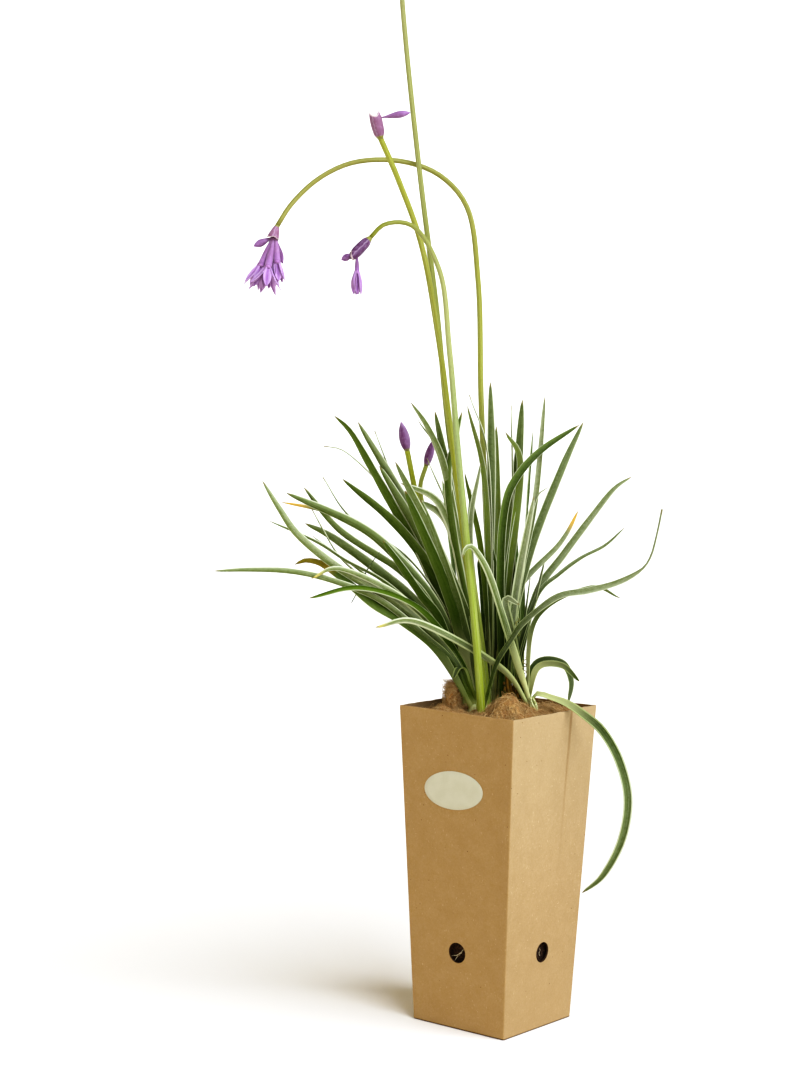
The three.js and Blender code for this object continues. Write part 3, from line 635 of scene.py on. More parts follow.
def sheaths(build, shoot, draw):
    """The wrapped leaf bases of one shoot: cut-off tubes, one inside the other."""
    root = np.array([*shoot.root, 0.0])
    r = shoot.crown
    angles = turn_angles(24)
    for layer, (share, top, slant) in enumerate(SHEATH_LAYERS):
        turn = draw.uniform(0, 6.28)
        heights = np.linspace(MIX_TOP + 0.3, top, len(SHEATH_SHAPE))
        radii = np.array(SHEATH_SHAPE) * r * share
        rings = []
        for z, radius in zip(heights, radii):
            lift = slant * np.cos(angles - turn) * smoothstep(z, MIX_TOP + 4, top)
            uneven = radius * (1 + 0.03 * np.sin(5 * angles + layer))
            ring = np.stack([uneven * np.cos(angles), uneven * np.sin(angles), z + lift], -1)
            rings.append(root + ring)
        inner = root + (rings[-1] - root) * [0.9, 0.9, 1] + [0, 0, -0.4]
        deep = root + (rings[-1] - root) * [0.75, 0.75, 1] + [0, 0, -4]
        rings = np.array([*rings, inner, deep])
        build.loft(
            rings,
            along=(rings[..., 2] - MIX_TOP) / 250,
            run=rings[..., 2] - MIX_TOP,
            across=(np.mod(angles / math.pi, 2) - 1)[None] * 0.8,
            sheen=0, face=0.5, tone=0.75, margin=0.1, warm=0.6, age=0, aged=0,
            seed=draw.uniform(0, 50),
        )


def leaf_material():
    s = Shader("variegated_leaf", Specular_IOR_Level=0.03)
    t, u, seed, tone, margin, age = s.attributes("along", "across", "seed", "tone", "margin", "age")
    aged, face, run, sheen, warm = s.attributes("aged", "face", "run", "sheen", "warm")
    u_shift = s.plus(u, s.times(seed, 3.7))
    veins = s.noise(s.join(s.times(u_shift, 9.0), s.times(run, 0.02), seed), 1.0, 3)
    fine = s.noise(s.join(s.times(u_shift, 26.0), s.times(run, 0.03), seed), 1.0, 2)
    mottle = s.noise(s.place(), 0.45, 4)

    # Every leaf pales towards its tip, the yellower ones most
    paling = s.times(s.step(run, 90, 250, 0, 0.3), s.step(warm, 0.4, 0.6, 0.2, 1))
    tone = s.plus(tone, paling)
    green = s.blend(tone, (46, 68, 0), (149, 153, 110))
    lighter = s.blend(tone, (78, 104, 0), (175, 178, 140))
    darker = s.blend(tone, (28, 47, 0), (96, 111, 40))
    green = s.layers(
        green,
        (veins, 0.44, 0.66, 0, 0.6, lighter),
        (fine, 0.3, 0.5, 0.45, 0, darker),
        (mottle, 0.4, 0.65, 0, 0.4, darker),
        (face, 0, 1, 0.3, 0, (92, 116, 12)),
    )
    # Painted light: on one side of its fold each leaf has a painted grey highlight, and on the other side
    # painted shade
    bloom = s.blend(tone, (102, 126, 30), (184, 187, 154))
    yellower = s.blend(mottle, (82, 104, 2), (154, 170, 44))
    green = s.layers(
        green,
        (sheen, -0.15, 0.75, 0, 0.45, bloom),
        (sheen, -0.9, 0.0, 0.4, 0, darker),
        (warm, 0.35, 1, 0, 0.8, yellower),
    )
    # Painted shade: all of the leaf is deeper low among the leaves, where those above would shade it
    deep = s.times(s.step(run, 20, 140, 0.84, 0), s.step(warm, 0.6, 0.8, 1, 0.4))
    green = s.blend(deep, green, (30, 46, 0))
    cream = s.blend(fine, (174, 179, 130), (218, 220, 188))
    cream = s.blend(s.step(run, 20, 130, 0.75, 0), cream, (132, 146, 34))
    # Cream streaks run inside the green too, and the margin's inner edge wanders
    streaks = s.times(s.step(fine, 0.62, 0.7), s.step(tone, 0.1, 0.9, 0.12, 0.7))
    color = s.blend(streaks, green, cream)
    wander = s.noise(s.join(s.times(run, 0.06), seed), 1.0, 2)
    inner = s.minus(s.minus(1.06, margin), s.times(wander, 0.12))
    rim = s.step(s.size(u), s.minus(inner, 0.035), s.plus(inner, 0.035))
    rim = s.times(rim, s.step(tone, 0, 0.5, 0.75, 1))
    rim = s.times(rim, s.step(run, 5, 110, 0.45, 1))
    color = s.blend(rim, color, cream)
    # Yellow-green where it comes out of the crown
    color = s.blend(s.step(run, 2, 34, 0.55, 0), color, (92, 112, 14))
    young = s.times(s.step(run, 12, 66, 0.88, 0), s.step(warm, 0.25, 0.45))
    color = s.blend(young, color, (204, 206, 140))
    color = s.blend(s.step(run, 0, 9, 0.6, 0), color, (176, 178, 104))
    # Aged tips
    yellow = s.times(aged, s.step(age, 0.4, 0.9))
    color = s.blend(yellow, color, s.blend(s.step(age, 1.2, 1.8), (196, 182, 98), (216, 172, 78)))
    olive = s.times(aged, s.step(age, 2.4, 2.9))
    color = s.blend(olive, color, (112, 98, 26))
    dry = s.step(s.plus(t, s.times(fine, 0.02)), 0.988, 1.0, 0, 0.7)
    color = s.blend(dry, color, (128, 112, 60))
    s.bump(s.plus(veins, s.times(fine, 0.5)), 0.25, 0.5)
    return s.finish(color, s.step(mottle, 0.3, 0.7, 0.5, 0.62))


def grow_shoots():
    material = leaf_material()
    for number, (name, shoot) in enumerate(SHOOTS.items()):
        draw = np.random.default_rng(LEAF_SEED + number)
        build = Build()
        rows = sorted(shoot.leaves, key=lambda row: math.atan2(row[4][0][0], row[4][0][1] - CROWN))
        last = max(1, len(rows) - 1)
        for rank, row in enumerate(rows):
            start = shoot.crown * mix(-0.7, 0.3, rank / last)
            leaf(build, shoot, row, start, shoot.sway * SWAY_ORDER[rank % 5], draw)
        sheaths(build, shoot, draw)
        build.points = [to_row(p) for p in build.points]
        build.piece(name + "_leaves", material, "leaf", name)


grow_shoots()


# Flower stalks and heads

# A stalk is (radius at the foot, radius at the top, route) in the plant's frame
STALKS = {
    "stalk_tall": (2.2, 1.75, [(-7, 2), (-21, 5, 321), (-38, 6, 412), (-49, 6, 503), (-62, 5, 593),
                              (-75, 8, 697), (-82, 12, 772)]),
    "stalk_upper": (2.2, 1.95, [(-9, -10), (-24, -13, 322), (-37, -13, 412), (-48, -13, 485),
                               (-61, -16, 548), (-78, -22, 592), (-90, -27, 618)]),
    "stalk_great": (2.3, 1.7, [(-3, 19), (-8, 19, 313), (-16, 19, 440), (-20, 18, 525), (-29, 17, 576),
                               (-48, 15, 597), (-75, 9, 606), (-108, 0, 604), (-132, -8, 592),
                               (-151, -15, 573), (-160, -20, 558)]),
    "stalk_near": (2.9, 1.5, [(-13, -25), (-19, -26, 288), (-32, -24, 399), (-40, -24, 475),
                              (-48, -29, 529), (-67, -40, 558), (-86, -49, 558), (-96, -52, 548)]),
    "stalk_bud_a": (2.1, 1.95, [(-15, 19), (-37, 25, 297), (-59, 23, 365), (-68, 18, 404)]),
    "stalk_bud_b": (1.9, 1.65, [(-10, 24), (-32, 31, 297), (-53, 31, 354), (-58, 29, 377), (-54, 27, 393)]),
}
# Colours along each stalk, from the foot to the head; the tall stalk's darker middle colour is painted
# shade
STALK_COLORS = {
    "stalk_tall": ((104, 118, 14), (132, 138, 52), (120, 124, 52), (146, 146, 84), (152, 148, 96)),
    "stalk_upper": ((100, 114, 4), (140, 144, 44), (150, 152, 52), (148, 146, 58), (150, 150, 44)),
    "stalk_great": ((100, 114, 14), (152, 154, 84), (150, 150, 62), (138, 134, 58), (142, 134, 64)),
    "stalk_near": ((128, 138, 14), (144, 158, 58), (146, 158, 100), (166, 168, 108), (122, 122, 30)),
    "stalk_bud_a": ((100, 112, 4), (92, 104, 4), (104, 116, 8), (134, 138, 14), (146, 150, 20)),
    "stalk_bud_b": ((100, 112, 4), (92, 104, 10), (104, 116, 20), (142, 146, 44), (154, 158, 70)),
}
STALK_STEPS = 90
STALK_SIDES = 16


def stalk_curve(points):
    (x, y), rest = points[0], points[1:]
    upright = [(x, y, z) for z in (MIX_TOP + 0.3, CROWN - 9, CROWN - 1)]
    return spline([*upright, *rest], centripetal=True)


def tube_rings(centres, tangents, radii, sides, first=(1, 0, 0)):
    """Rings square to a path, turned so that they follow on from one another."""
    normal = np.array(first, float)
    normals = []
    for tangent in tangents:
        normal = unit(normal - tangent * (normal @ tangent))
        normals.append(normal)
    normals = np.array(normals)[:, None]
    binormals = np.cross(tangents, normals[:, 0])[:, None]
    a = turn_angles(sides)[None, :, None]
    radii = np.asarray(radii, float)
    radii = radii[:, None] if radii.ndim == 1 else radii
    return centres[:, None] + (normals * np.cos(a) + binormals * np.sin(a)) * radii[..., None]


def stalk_material(name, colors):
    s = Shader(name + "_skin", Specular_IOR_Level=0.12)
    t, turn = s.attributes("along", "turn")
    color = colors[0]
    for part, tint in enumerate(colors[1:]):
        color = s.blend(s.step(t, part / 4, part / 4 + 0.25), color, tint)
    ribs = s.noise(s.join(s.times(turn, 2.2), s.times(t, 4.0)), 2.0, 3)
    flecks = s.noise(s.stretch(s.place(), (1, 1, 0.35)), 1.6, 4)
    color = s.layers(
        color,
        (ribs, 0.4, 0.7, 0, 0.4, (188, 190, 128)),
        (flecks, 0.5, 0.75, 0, 0.3, (108, 116, 36)),
        (turn, 1.2, 3, 0, 0.3, (96, 106, 20)),
        (t, 0.0, 0.05, 0.5, 0, (188, 188, 112)),
    )
    s.bump(s.plus(ribs, s.times(flecks, 0.4)), 0.2, 0.4)
    return s.finish(color, s.step(flecks, 0.3, 0.7, 0.4, 0.52))


def grow_stalks():
    t = np.linspace(0, 1, STALK_STEPS + 1)
    angles = turn_angles(STALK_SIDES)
    ends = {}
    for number, (name, (base, top, points)) in enumerate(STALKS.items()):
        centres, tangents, _ = along(stalk_curve(points), t)
        ends[name] = centres[-1], tangents[-1]
        radii = mix(base, top, t)[:, None] * (1 + 0.035 * np.cos(5 * angles + number)[None, :])
        build = Build()
        rings = tube_rings(centres, tangents, radii, STALK_SIDES)
        build.loft(to_row(rings), along=t, turn=3 * np.abs(angles / math.pi - 1)[None])
        build.piece(name + "_stem", stalk_material(name, STALK_COLORS[name]), "stalk", name)
    return ends


stalk_ends = grow_stalks()

# A flower is (how far up the spathe it starts, heading, tube, lobes, spread, bend[, slimness]) and a bud is
# (how far up it starts, heading, stalk, length, scale). A spathe's shade goes from 0, deep, to 1, pale.
HEADS = {
    "head_tall": {
        "profile": "cup", "bract": 11, "scale": 1.2,
        "flowers": [
            (6, (0.9, 0.2, 0.75), 17, 11, 38, 40),
            (6, (-0.8, 0.5, 0.8), 17, 11, 38, 40),
            (6, (-0.3, -0.9, 0.7), 16, 11, 34, 40),
            (7, (0.1, 0.1, 1), 18, 11, 26, 30),
        ],
        "buds": [(6, (0.5, -0.8, 0.5), 8, 14, 1.2), (6, (-0.2, 0.9, 0.45), 8, 13, 1.2)],
    },
    "head_upper": {
        "axis": (-0.25, -0.1, 0.96), "profile": "split", "bract": 17, "scale": 1.35, "shade": 0.9,
        "buds": [(13, (0.95, -0.1, 0.17), 6, 18, 1.2)],
    },
    "head_great": {
        "axis": (-0.3, -0.1, -0.95), "profile": "cup", "bract": 9, "scale": 1.25, "shade": 1.0,
        "flowers": [
            (5, (-0.4, -0.1, -1), 23, 18, 8, 14),
            (6, (-0.16, -0.26, -1), 23, 20, 16, 24),
            (4, (0.08, -0.08, -1), 20, 15, 4, 8),
            (5, (-0.14, 0.24, -1), 22, 17, 12, 18),
        ],
        "buds": [(8, (-1, -0.2, -0.5), 2, 13, 1.3), (5, (0.24, 0.24, -0.9), 6, 16, 1.1)],
    },
    "head_near": {
        "profile": "split", "bract": 18, "scale": 1.15, "shade": 0.05,
        "flowers": [(12, (0.02, -0.1, -1), 13, 16, 9, -15, 0.66)],
        "buds": [(13, (-0.9, 0.1, -0.45), 2, 9, 1.2)],
    },
    "head_bud_a": {"profile": "closed", "bract": 20, "scale": 1.03},
    "head_bud_b": {"profile": "closed", "bract": 19, "scale": 0.85},
}
# The radius of each kind of spathe along its length
BRACTS = {
    "cup": ((0, 1.4), (0.35, 2.3), (0.75, 3.1), (1, 3.4)),
    "split": ((0, 1.9), (0.2, 3), (0.7, 3.3), (1, 2.6)),
    "closed": ((0, 2.3), (0.16, 3.4), (0.42, 3.9), (0.75, 2.7), (1, 0.5)),
}
LOBES = 6
PEDICEL_RADIUS = 0.6
HEAD_SEED = 300


def smooth_profile(profile, shares):
    """A rounded curve of radius through a profile's points."""
    curve = spline([(a, r, 0) for a, r in profile])
    order = np.argsort(curve[:, 0])
    return np.interp(shares, curve[order, 0], curve[order, 1])


def head_frame(axis):
    u = unit(np.cross([0.31, 0.95, 0.1], axis))
    return u, np.cross(axis, u)


def rings_along(start, axis, lengths, radii):
    """Rings round an axis, with a distance and a radius for each point, and the unit ring itself."""
    u, v = head_frame(axis)
    a = turn_angles(radii.shape[1])
    ring = u * np.cos(a)[:, None] + v * np.sin(a)[:, None]
    return start + lengths[..., None] * axis + ring[None] * radii[..., None], ring


def spun(build, start, axis, lengths, radii, part, shade=0.5):
    """A turned shape whose radius may differ round it."""
    rings, _ = rings_along(start, axis, np.asarray(lengths, float)[:, None], radii)
    share = np.linspace(0, 1, len(lengths))
    turn = np.abs(turn_angles(radii.shape[1]) / math.pi - 1)
    build.loft(to_row(rings), along=share, turn=turn[None], part=part, shade=shade)


def petal(build, throat, axis, outwards, length, spread, bend, slim, shade, draw):
    """One pointed lobe, a thin body with a groove along its middle that bends outwards."""
    across = unit(np.cross(axis, outwards))
    stations = np.linspace(-0.15, 1, 14)
    halves = smooth_profile(((-0.15, 0.8), (0.2, 2.2), (0.45, 2.9), (0.75, 2.2), (1, 0.2)), stations)
    angles = np.radians(spread + bend * np.clip(stations, 0, 1))
    headings = np.cos(angles)[:, None] * axis + np.sin(angles)[:, None] * outwards
    steps = np.diff(stations, prepend=0.0)
    steps[0] = stations[0]
    centres = throat + 1.3 * slim * outwards + np.cumsum(headings * steps[:, None] * length, axis=0)
    normals = np.cross(headings, across)
    u = np.array([1, 0.7, 0.35, 0, -0.35, -0.7, -1])
    curl = draw.uniform(-0.5, 0.5) * np.clip(stations, 0, 1) ** 2
    groove = 0.28 * halves[:, None] * (u**2 - 0.4) + curl[:, None] * u
    thick = 0.3 * np.sqrt(np.clip(1.02 - u**2, 0.03, 1))
    rings, widths = blade_rings(centres, across[None], -normals, halves, u, groove, thick)
    build.loft(
        to_row(rings),
        along=np.clip(stations, 0, 1),
        turn=np.abs(widths)[None],
        part=1,
        shade=shade + draw.uniform(-0.3, 0.3),
    )


def open_flower(build, start, heading, draw, tube_length, lobe_length, spread, bend, slim=1.0):
    axis = unit(heading)
    throat = start + axis * tube_length
    u, v = head_frame(axis)
    shares = np.linspace(0, 1, 14)
    lengths = shares * (tube_length + 1)
    profile = ((0, 0.8), (0.33, 1.4), (0.57, 2.1), (1, 2.6))
    a = turn_angles(18)
    ribs = 1 + 0.06 * np.cos(6 * a)[None, :] * smoothstep(shares, 0.3, 0.7)[:, None]
    radii = smooth_profile(profile, shares)[:, None] * ribs * slim
    spun(build, start, axis, lengths, radii, part=2, shade=draw.uniform(0.3, 0.7) + 0.5 * (slim < 1))
    lobe_shade = 0.8 if slim < 1 else 0.35
    for k in range(LOBES):
        angle = 2 * math.pi * k / LOBES
        outwards = u * math.cos(angle) + v * math.sin(angle)
        opening = spread + (k % 2) * 6
        petal(build, throat, axis, outwards, lobe_length, opening, bend, slim, lobe_shade, draw)
    # The low fleshy crown at the mouth of the tube
    crown = np.array([2.4, 2.8, 2.7, 2.1, 1.1])
    rims = slim * crown[:, None] * (1 + 0.12 * np.cos(3 * a))[None, :]
    spun(build, throat, axis, [0, 1.0, 2.0, 2.3, 0.6], rims, part=3)


def closed_flower(build, start, heading, draw, stalk_length, bud_length, scale):
    axis = unit(heading)
    profile = [(0, PEDICEL_RADIUS), (stalk_length, PEDICEL_RADIUS + 0.1)]
    for share, radius in ((0.2, 1.1), (0.55, 1.9), (0.8, 1.5), (1, 0.3)):
        profile.append((stalk_length + share * bud_length, radius * scale))
    lengths = np.linspace(0, stalk_length + bud_length, 26)
    a = turn_angles(18)
    folds = 1 + 0.08 * np.cos(6 * a)[None, :] * smoothstep(lengths, stalk_length, stalk_length + 3)[:, None]
    radii = np.maximum(smooth_profile(profile, lengths), 0.25)[:, None] * folds
    spun(build, start, axis, lengths, radii, part=2, shade=draw.uniform(0.5, 1))


def spathe(build, start, stem, axis, length, profile, scale, shade, draw):
    """The papery bract: two pleated valves that meet along seams, over a green collar on the stem."""
    shares = np.linspace(0, 1, 22)
    a = turn_angles(24)
    radii = smooth_profile(BRACTS[profile], shares)[:, None] * scale
    seams = 1 - 0.07 * np.abs(np.cos(a)) ** 12
    pleats = 1 + (0.018 if profile == "closed" else 0.05) * np.cos(13 * a + 1)
    radii = radii * (seams * pleats)[None, :]
    lengths = np.repeat(shares[:, None] * length, len(a), 1)
    if profile != "closed":
        # The valves end in points, torn and uneven, and turn in round the flowers
        points = {"cup": 0.12, "split": 0.2}[profile] * length
        tear = points * (np.abs(np.sin(a + draw.uniform(0, 3))) ** 1.5 - 0.7) + 0.35 * np.sin(5 * a + 2)
        lengths = lengths + tear[None, :] * smoothstep(shares, 0.6, 1)[:, None]
        rim = lengths[-1:]
        radii = np.vstack([radii, radii[-1:] * 0.88, radii[-1:] * 0.5])
        lengths = np.vstack([lengths, rim - 0.4, rim - 0.35 * length])
    rings, ring = rings_along(start, axis, lengths, radii)
    collar = start - 1.4 * stem + ring * (0.75 * radii[0])[:, None]
    rings = np.vstack([collar[None], rings])
    shares = np.linspace(0, 1, len(rings))
    build.loft(
        to_row(rings),
        along=shares,
        turn=np.abs(a / math.pi - 1)[None],
        part=0 if profile == "closed" else 4,
        shade=shade,
    )


def flower_material():
    s = Shader("lilac_flower", Specular_IOR_Level=0.3, Sheen_Weight=0.25, Sheen_Roughness=0.4)
    t, turn, part, shade = s.attributes("along", "turn", "part", "shade")
    veins = s.noise(s.join(s.times(turn, 7.0), s.times(t, 0.8), s.times(shade, 9)), 2.0, 3)
    cloud = s.noise(s.place(), 0.5, 3)
    # Closed spathe: deep dull purple with a painted highlight, paler and greyer, on one side and at the
    # point, over a green foot
    bud = s.blend(s.step(veins, 0.35, 0.7), (92, 44, 82), (116, 64, 110))
    bud = s.layers(
        bud,
        (turn, 0.45, 1.0, 0, 0.65, (168, 132, 168)),
        (t, 0.75, 1.0, 0, 0.5, (176, 140, 172)),
        (t, 0.03, 0.12, 0.9, 0, (128, 128, 30)),
    )
    # Petals: pale lilac edges and a darker middle line
    lilac = s.blend(s.step(turn, 0.0, 0.8), (142, 88, 148), (204, 162, 206))
    lilac = s.blend(s.step(veins, 0.4, 0.7, 0, 0.45), lilac, (172, 122, 178))
    lilac = s.blend(s.times(shade, 0.45), lilac, (118, 70, 124))
    # Tubes and closed flowers, darker than the lobes
    tube = s.blend(shade, (168, 120, 162), (104, 58, 98))
    tube = s.layers(
        tube,
        (veins, 0.4, 0.7, 0, 0.4, (168, 120, 170)),
        (t, 0.0, 0.25, 0.7, 0, (112, 78, 66)),
        (t, 0.6, 0.9, 0, 0.35, (176, 128, 188)),
    )
    corona = s.blend(cloud, (140, 76, 146), (186, 138, 178))
    # Open spathes: mauve paper, deep or pale by the head, with a dry cream edge and an olive foot
    paper = s.blend(shade, (84, 40, 78), (140, 94, 116))
    paper = s.blend(s.step(veins, 0.45, 0.7, 0, 0.5), paper, s.blend(shade, (112, 68, 108), (122, 76, 98)))
    seam = s.step(s.size(s.minus(turn, s.plus(s.times(cloud, 0.3), 0.3))), 0.02, 0.06, 0.4, 0)
    paper = s.blend(seam, paper, (184, 160, 176))
    paper = s.layers(
        paper,
        (t, 0.05, 0.13, 0.95, 0, (132, 132, 24)),
        (s.size(s.minus(t, 0.9)), 0.02, 0.06, 0.8, 0, (216, 196, 184)),
    )
    color = bud
    for number, tint in ((1, lilac), (2, tube), (3, corona), (4, paper)):
        color = s.blend(s.step(part, number - 0.6, number - 0.4), color, tint)
    color = s.blend(s.step(cloud, 0.4, 0.8, 0, 0.2), color, (206, 176, 206))
    s.bump(veins, 0.25, 0.6)
    return s.finish(color, s.step(cloud, 0.3, 0.7, 0.5, 0.66))


def bloom():
    material = flower_material()
    for number, (name, head) in enumerate(HEADS.items()):
        draw = np.random.default_rng(HEAD_SEED + number)
        tip, stem = stalk_ends[name.replace("head", "stalk")]
        axis = unit(head.get("axis", stem))
        start = tip + (0.6 if "axis" in head else 0.3) * stem
        build = Build()
        shade = head.get("shade", 0.6)
        spathe(build, start, stem, axis, head["bract"], head["profile"], head["scale"], shade, draw)
        for at, heading, *shape in head.get("flowers", ()):
            open_flower(build, start + at * axis, heading, draw, *shape)
        for at, heading, *shape in head.get("buds", ()):
            closed_flower(build, start + at * axis, heading, draw, *shape)
        kind = "bud" if head["profile"] == "closed" else "flower"
        build.piece(name + "_bloom", material, kind, name)


bloom()


# Carton


def wall_half(z):
    return mix(BASE_WIDTH, RIM_WIDTH, np.asarray(z) / CARTON_HEIGHT) / 2


WALL_SLOPE = (RIM_WIDTH - BASE_WIDTH) / 2 / CARTON_HEIGHT
WALL_LEAN = math.atan(WALL_SLOPE)
FLAP_EDGE = RIM_WIDTH / 2 - BOARD - GLUE_FLAP_WIDTH
FOLD_RADIUS = 1.1
RIM_TEXTURE = ripple(5, 5, 60, 9)


def square_section(half, radius, columns):
    """A rounded square ring, anticlockwise from the middle of the +X side, with a fixed point count."""
    straight = half - radius
    points = []
    for side in range(4):
        for c in columns:
            points.append((side, half, c * straight))
        for k in range(1, 5):
            a = math.pi / 2 * k / 5
            points.append((side, straight + radius * math.cos(a), straight + radius * math.sin(a)))
    ring = []
    for side, out, along_side in points:
        c, s = ((1, 0), (0, 1), (-1, 0), (0, -1))[side]
        ring.append((out * c - along_side * s, out * s + along_side * c))
    return np.array(ring)


def rim_wave(x, y):
    """How far the cut edge of the rim strays from level, stepped up behind the glued flap's edge."""
    wave = 0.35 * RIM_TEXTURE(np.stack([x, y, 0 * x], -1))
    on_right = smoothstep(x, RIM_WIDTH / 2 - 4, RIM_WIDTH / 2 - 2)
    return wave + on_right * (0.5 * smoothstep(y, FLAP_EDGE - 1, FLAP_EDGE + 1) - 0.2)


def carton_mesh():
    # Columns gather by the folds and by the edge of the flap behind the +X wall
    columns = np.unique(np.round([*np.linspace(-1, 1, 33), 0.34, 0.355, 0.37, 0.385, 0.4, 0.415], 4))
    rings = []

    def ring(z, inset, radius, lift=0.0):
        section = square_section(wall_half(z) - inset, max(radius, 0.3), columns)
        x, y = section[:, 0], section[:, 1]
        high = smoothstep(z, 0.75 * CARTON_HEIGHT, CARTON_HEIGHT)
        heights = z + high * rim_wave(x, y) + lift
        if inset < 0.2:
            # The glued flap presses the wall above it out a little, and the walls bow very slightly
            proud = 0.45 * smoothstep(y, FLAP_EDGE - 1.2, FLAP_EDGE + 0.6) * smoothstep(z, 95, 190)
            front = smoothstep(x, wall_half(z) - inset - 0.6, wall_half(z) - inset - 0.1)
            x = x + front * proud * smoothstep(wall_half(z) - y, 0.5, 2)
            bow = 0.25 * np.cos(math.pi * y / (2 * wall_half(z))) * math.sin(math.pi * z / CARTON_HEIGHT)
            x = x + np.sign(x) * np.abs(bow) * (np.abs(x) > wall_half(z) - inset - 0.05)
        rings.append(np.stack([x, y, heights], -1))

    for z in (0.0, 0.5, 1.2, *np.linspace(4, CARTON_HEIGHT - 1.2, 70)):
        ring(z, 0.5 if z == 0 else 0, FOLD_RADIUS)
    ring(CARTON_HEIGHT, 0.12, FOLD_RADIUS, -0.1)
    ring(CARTON_HEIGHT, 0.35, FOLD_RADIUS)
    ring(CARTON_HEIGHT, BOARD - 0.3, FOLD_RADIUS / 2)
    ring(CARTON_HEIGHT, BOARD, FOLD_RADIUS / 3, -0.25)
    upper = (CARTON_HEIGHT - 4, CARTON_HEIGHT - 16, 150)
    for z in (*upper, VENT_HEIGHT + 15, VENT_HEIGHT - 15, 3 * BOARD, 2 * BOARD):
        ring(z, BOARD, 0.4)
    build = Build()
    build.loft(np.array(rings))
    return build.mesh("carton_shell")


def cut_vents(shell):
    """Takes the four round vent holes out of the walls, two rods right through."""
    a = turn_angles(64)
    circle = np.stack([VENT_RADIUS * np.cos(a), 0 * a, VENT_HEIGHT + VENT_RADIUS * np.sin(a)], -1)
    rings = np.array([circle + [0, y, 0] for y in (RIM_WIDTH, -RIM_WIDTH)])
    for turn in (0, math.pi / 2):
        rotation = np.array(Matrix.Rotation(turn, 3, "Z"))
        build = Build()
        build.loft(rings @ rotation.T)
        cutter = link(bpy.data.objects.new("vent_cutter", build.mesh("vent_cutter")))
        modifier = shell.modifiers.new("vents", "BOOLEAN")
        modifier.operation = "DIFFERENCE"
        modifier.solver = "EXACT"
        modifier.object = cutter
        bpy.context.view_layer.update()
        solved = bpy.data.meshes.new_from_object(shell.evaluated_get(bpy.context.evaluated_depsgraph_get()))
        shell.modifiers.clear()
        shell.data = solved
        bpy.data.objects.remove(cutter)


def kraft_material():
    s = Shader("kraft_board", Specular_IOR_Level=0.1)
    place = s.place()
    cloudy = s.noise(place, 0.09, 4, 0.6)
    mottle = s.noise(place, 0.5, 5, 0.65)
    grain = s.noise(s.stretch(place, (1, 1, 0.25)), 2.2, 4, 0.6)
    specked = s.noise(place, 0.95, 2, 0.5)
    color = s.blend(s.step(cloudy, 0.3, 0.7), (164, 137, 95), (172, 145, 103))
    color = s.layers(
        color,
        (mottle, 0.35, 0.7, 0, 0.35, (152, 125, 78)),
        (grain, 0.45, 0.75, 0, 0.3, (184, 154, 104)),
        (specked, 0.56, 0.7, 0, 0.22, (202, 172, 124)),
        (specked, 0.3, 0.44, 0.16, 0, (138, 108, 64)),
    )
    # Recycled fibres: short flecks, pale and dark, some upright and some level
    warped = s.noise(place, 0.35, 2)
    for squeeze, low, high, tint, amount in (
        ((0.4, 0.4, 1.2), 0.05, 0.16, (216, 190, 146), 0.6),
        ((1.3, 1.3, 0.35), 0.06, 0.16, (220, 196, 152), 0.6),
        ((1.1, 1.1, 0.5), 0.05, 0.12, (128, 94, 52), 0.5),
    ):
        distance = s.cells(s.stretch(place, squeeze), 0.4)
        fleck = s.step(distance, low, high, amount, 0)
        color = s.blend(s.times(fleck, s.step(warped, 0.45, 0.6)), color, tint)
    # Painted shade: the walls beside the label, on the shaded side, are deeper in colour; the other two are
    # darker towards the bottom and paler towards the top
    x, y, z = s.parts(place)
    beside = s.step(s.minus(s.size(y), s.size(x)), -0.4, 0.4)
    graded_by_height = s.blend(s.step(z, 10, 150, 0.4, 0), color, (150, 124, 82))
    graded_by_height = s.blend(s.step(z, 70, 215, 0, 0.4), graded_by_height, (176, 156, 116))
    color = s.blend(beside, graded_by_height, s.blend(0.35, color, (158, 115, 47)))
    # Painted shade: a soft dark line where the edge of the glued flap shows through the +X wall
    edge = s.minus(y, s.plus(s.times(z, WALL_SLOPE), FLAP_EDGE - WALL_SLOPE * CARTON_HEIGHT))
    crease = s.times(s.step(s.size(edge), 0.3, 1.9, 1, 0), s.step(z, 100, 222, 0, 0.5))
    color = s.blend(s.times(crease, s.step(x, 38, 40)), color, (130, 94, 48))
    # A dark line of shade where the walls meet the ground
    color = s.blend(s.step(z, 0.6, 1.4, 0.85, 0), color, (64, 40, 18))
    # Painted shade: the inside of the sleeve is deeper in colour, and the cut edges of the vents are near
    # black where they look into the dark holes
    outward = s.math("MAXIMUM", s.size(x), s.size(y))
    depth = s.minus(outward, s.times(z, WALL_SLOPE))
    color = s.blend(s.step(depth, BASE_WIDTH / 2 - 1.3, BASE_WIDTH / 2 - 0.7, 0.6, 0), color, (98, 68, 34))
    inward = s.math("MINIMUM", s.size(x), s.size(y))
    up = s.minus(z, VENT_HEIGHT)
    reach = s.math("SQRT", s.plus(s.times(inward, inward), s.times(up, up)))
    color = s.blend(s.step(reach, VENT_RADIUS + 0.1, VENT_RADIUS + 0.35, 0.92, 0), color, (44, 24, 12))
    # A few dark specks
    specks = s.cells(place, 0.12)
    color = s.blend(s.step(specks, 0.035, 0.06, 0.8, 0), color, (96, 66, 36))
    s.bump(s.plus(mottle, s.times(grain, 0.5)), 0.12, 0.35)
    return s.finish(color, s.step(mottle, 0.3, 0.7, 0.72, 0.86))


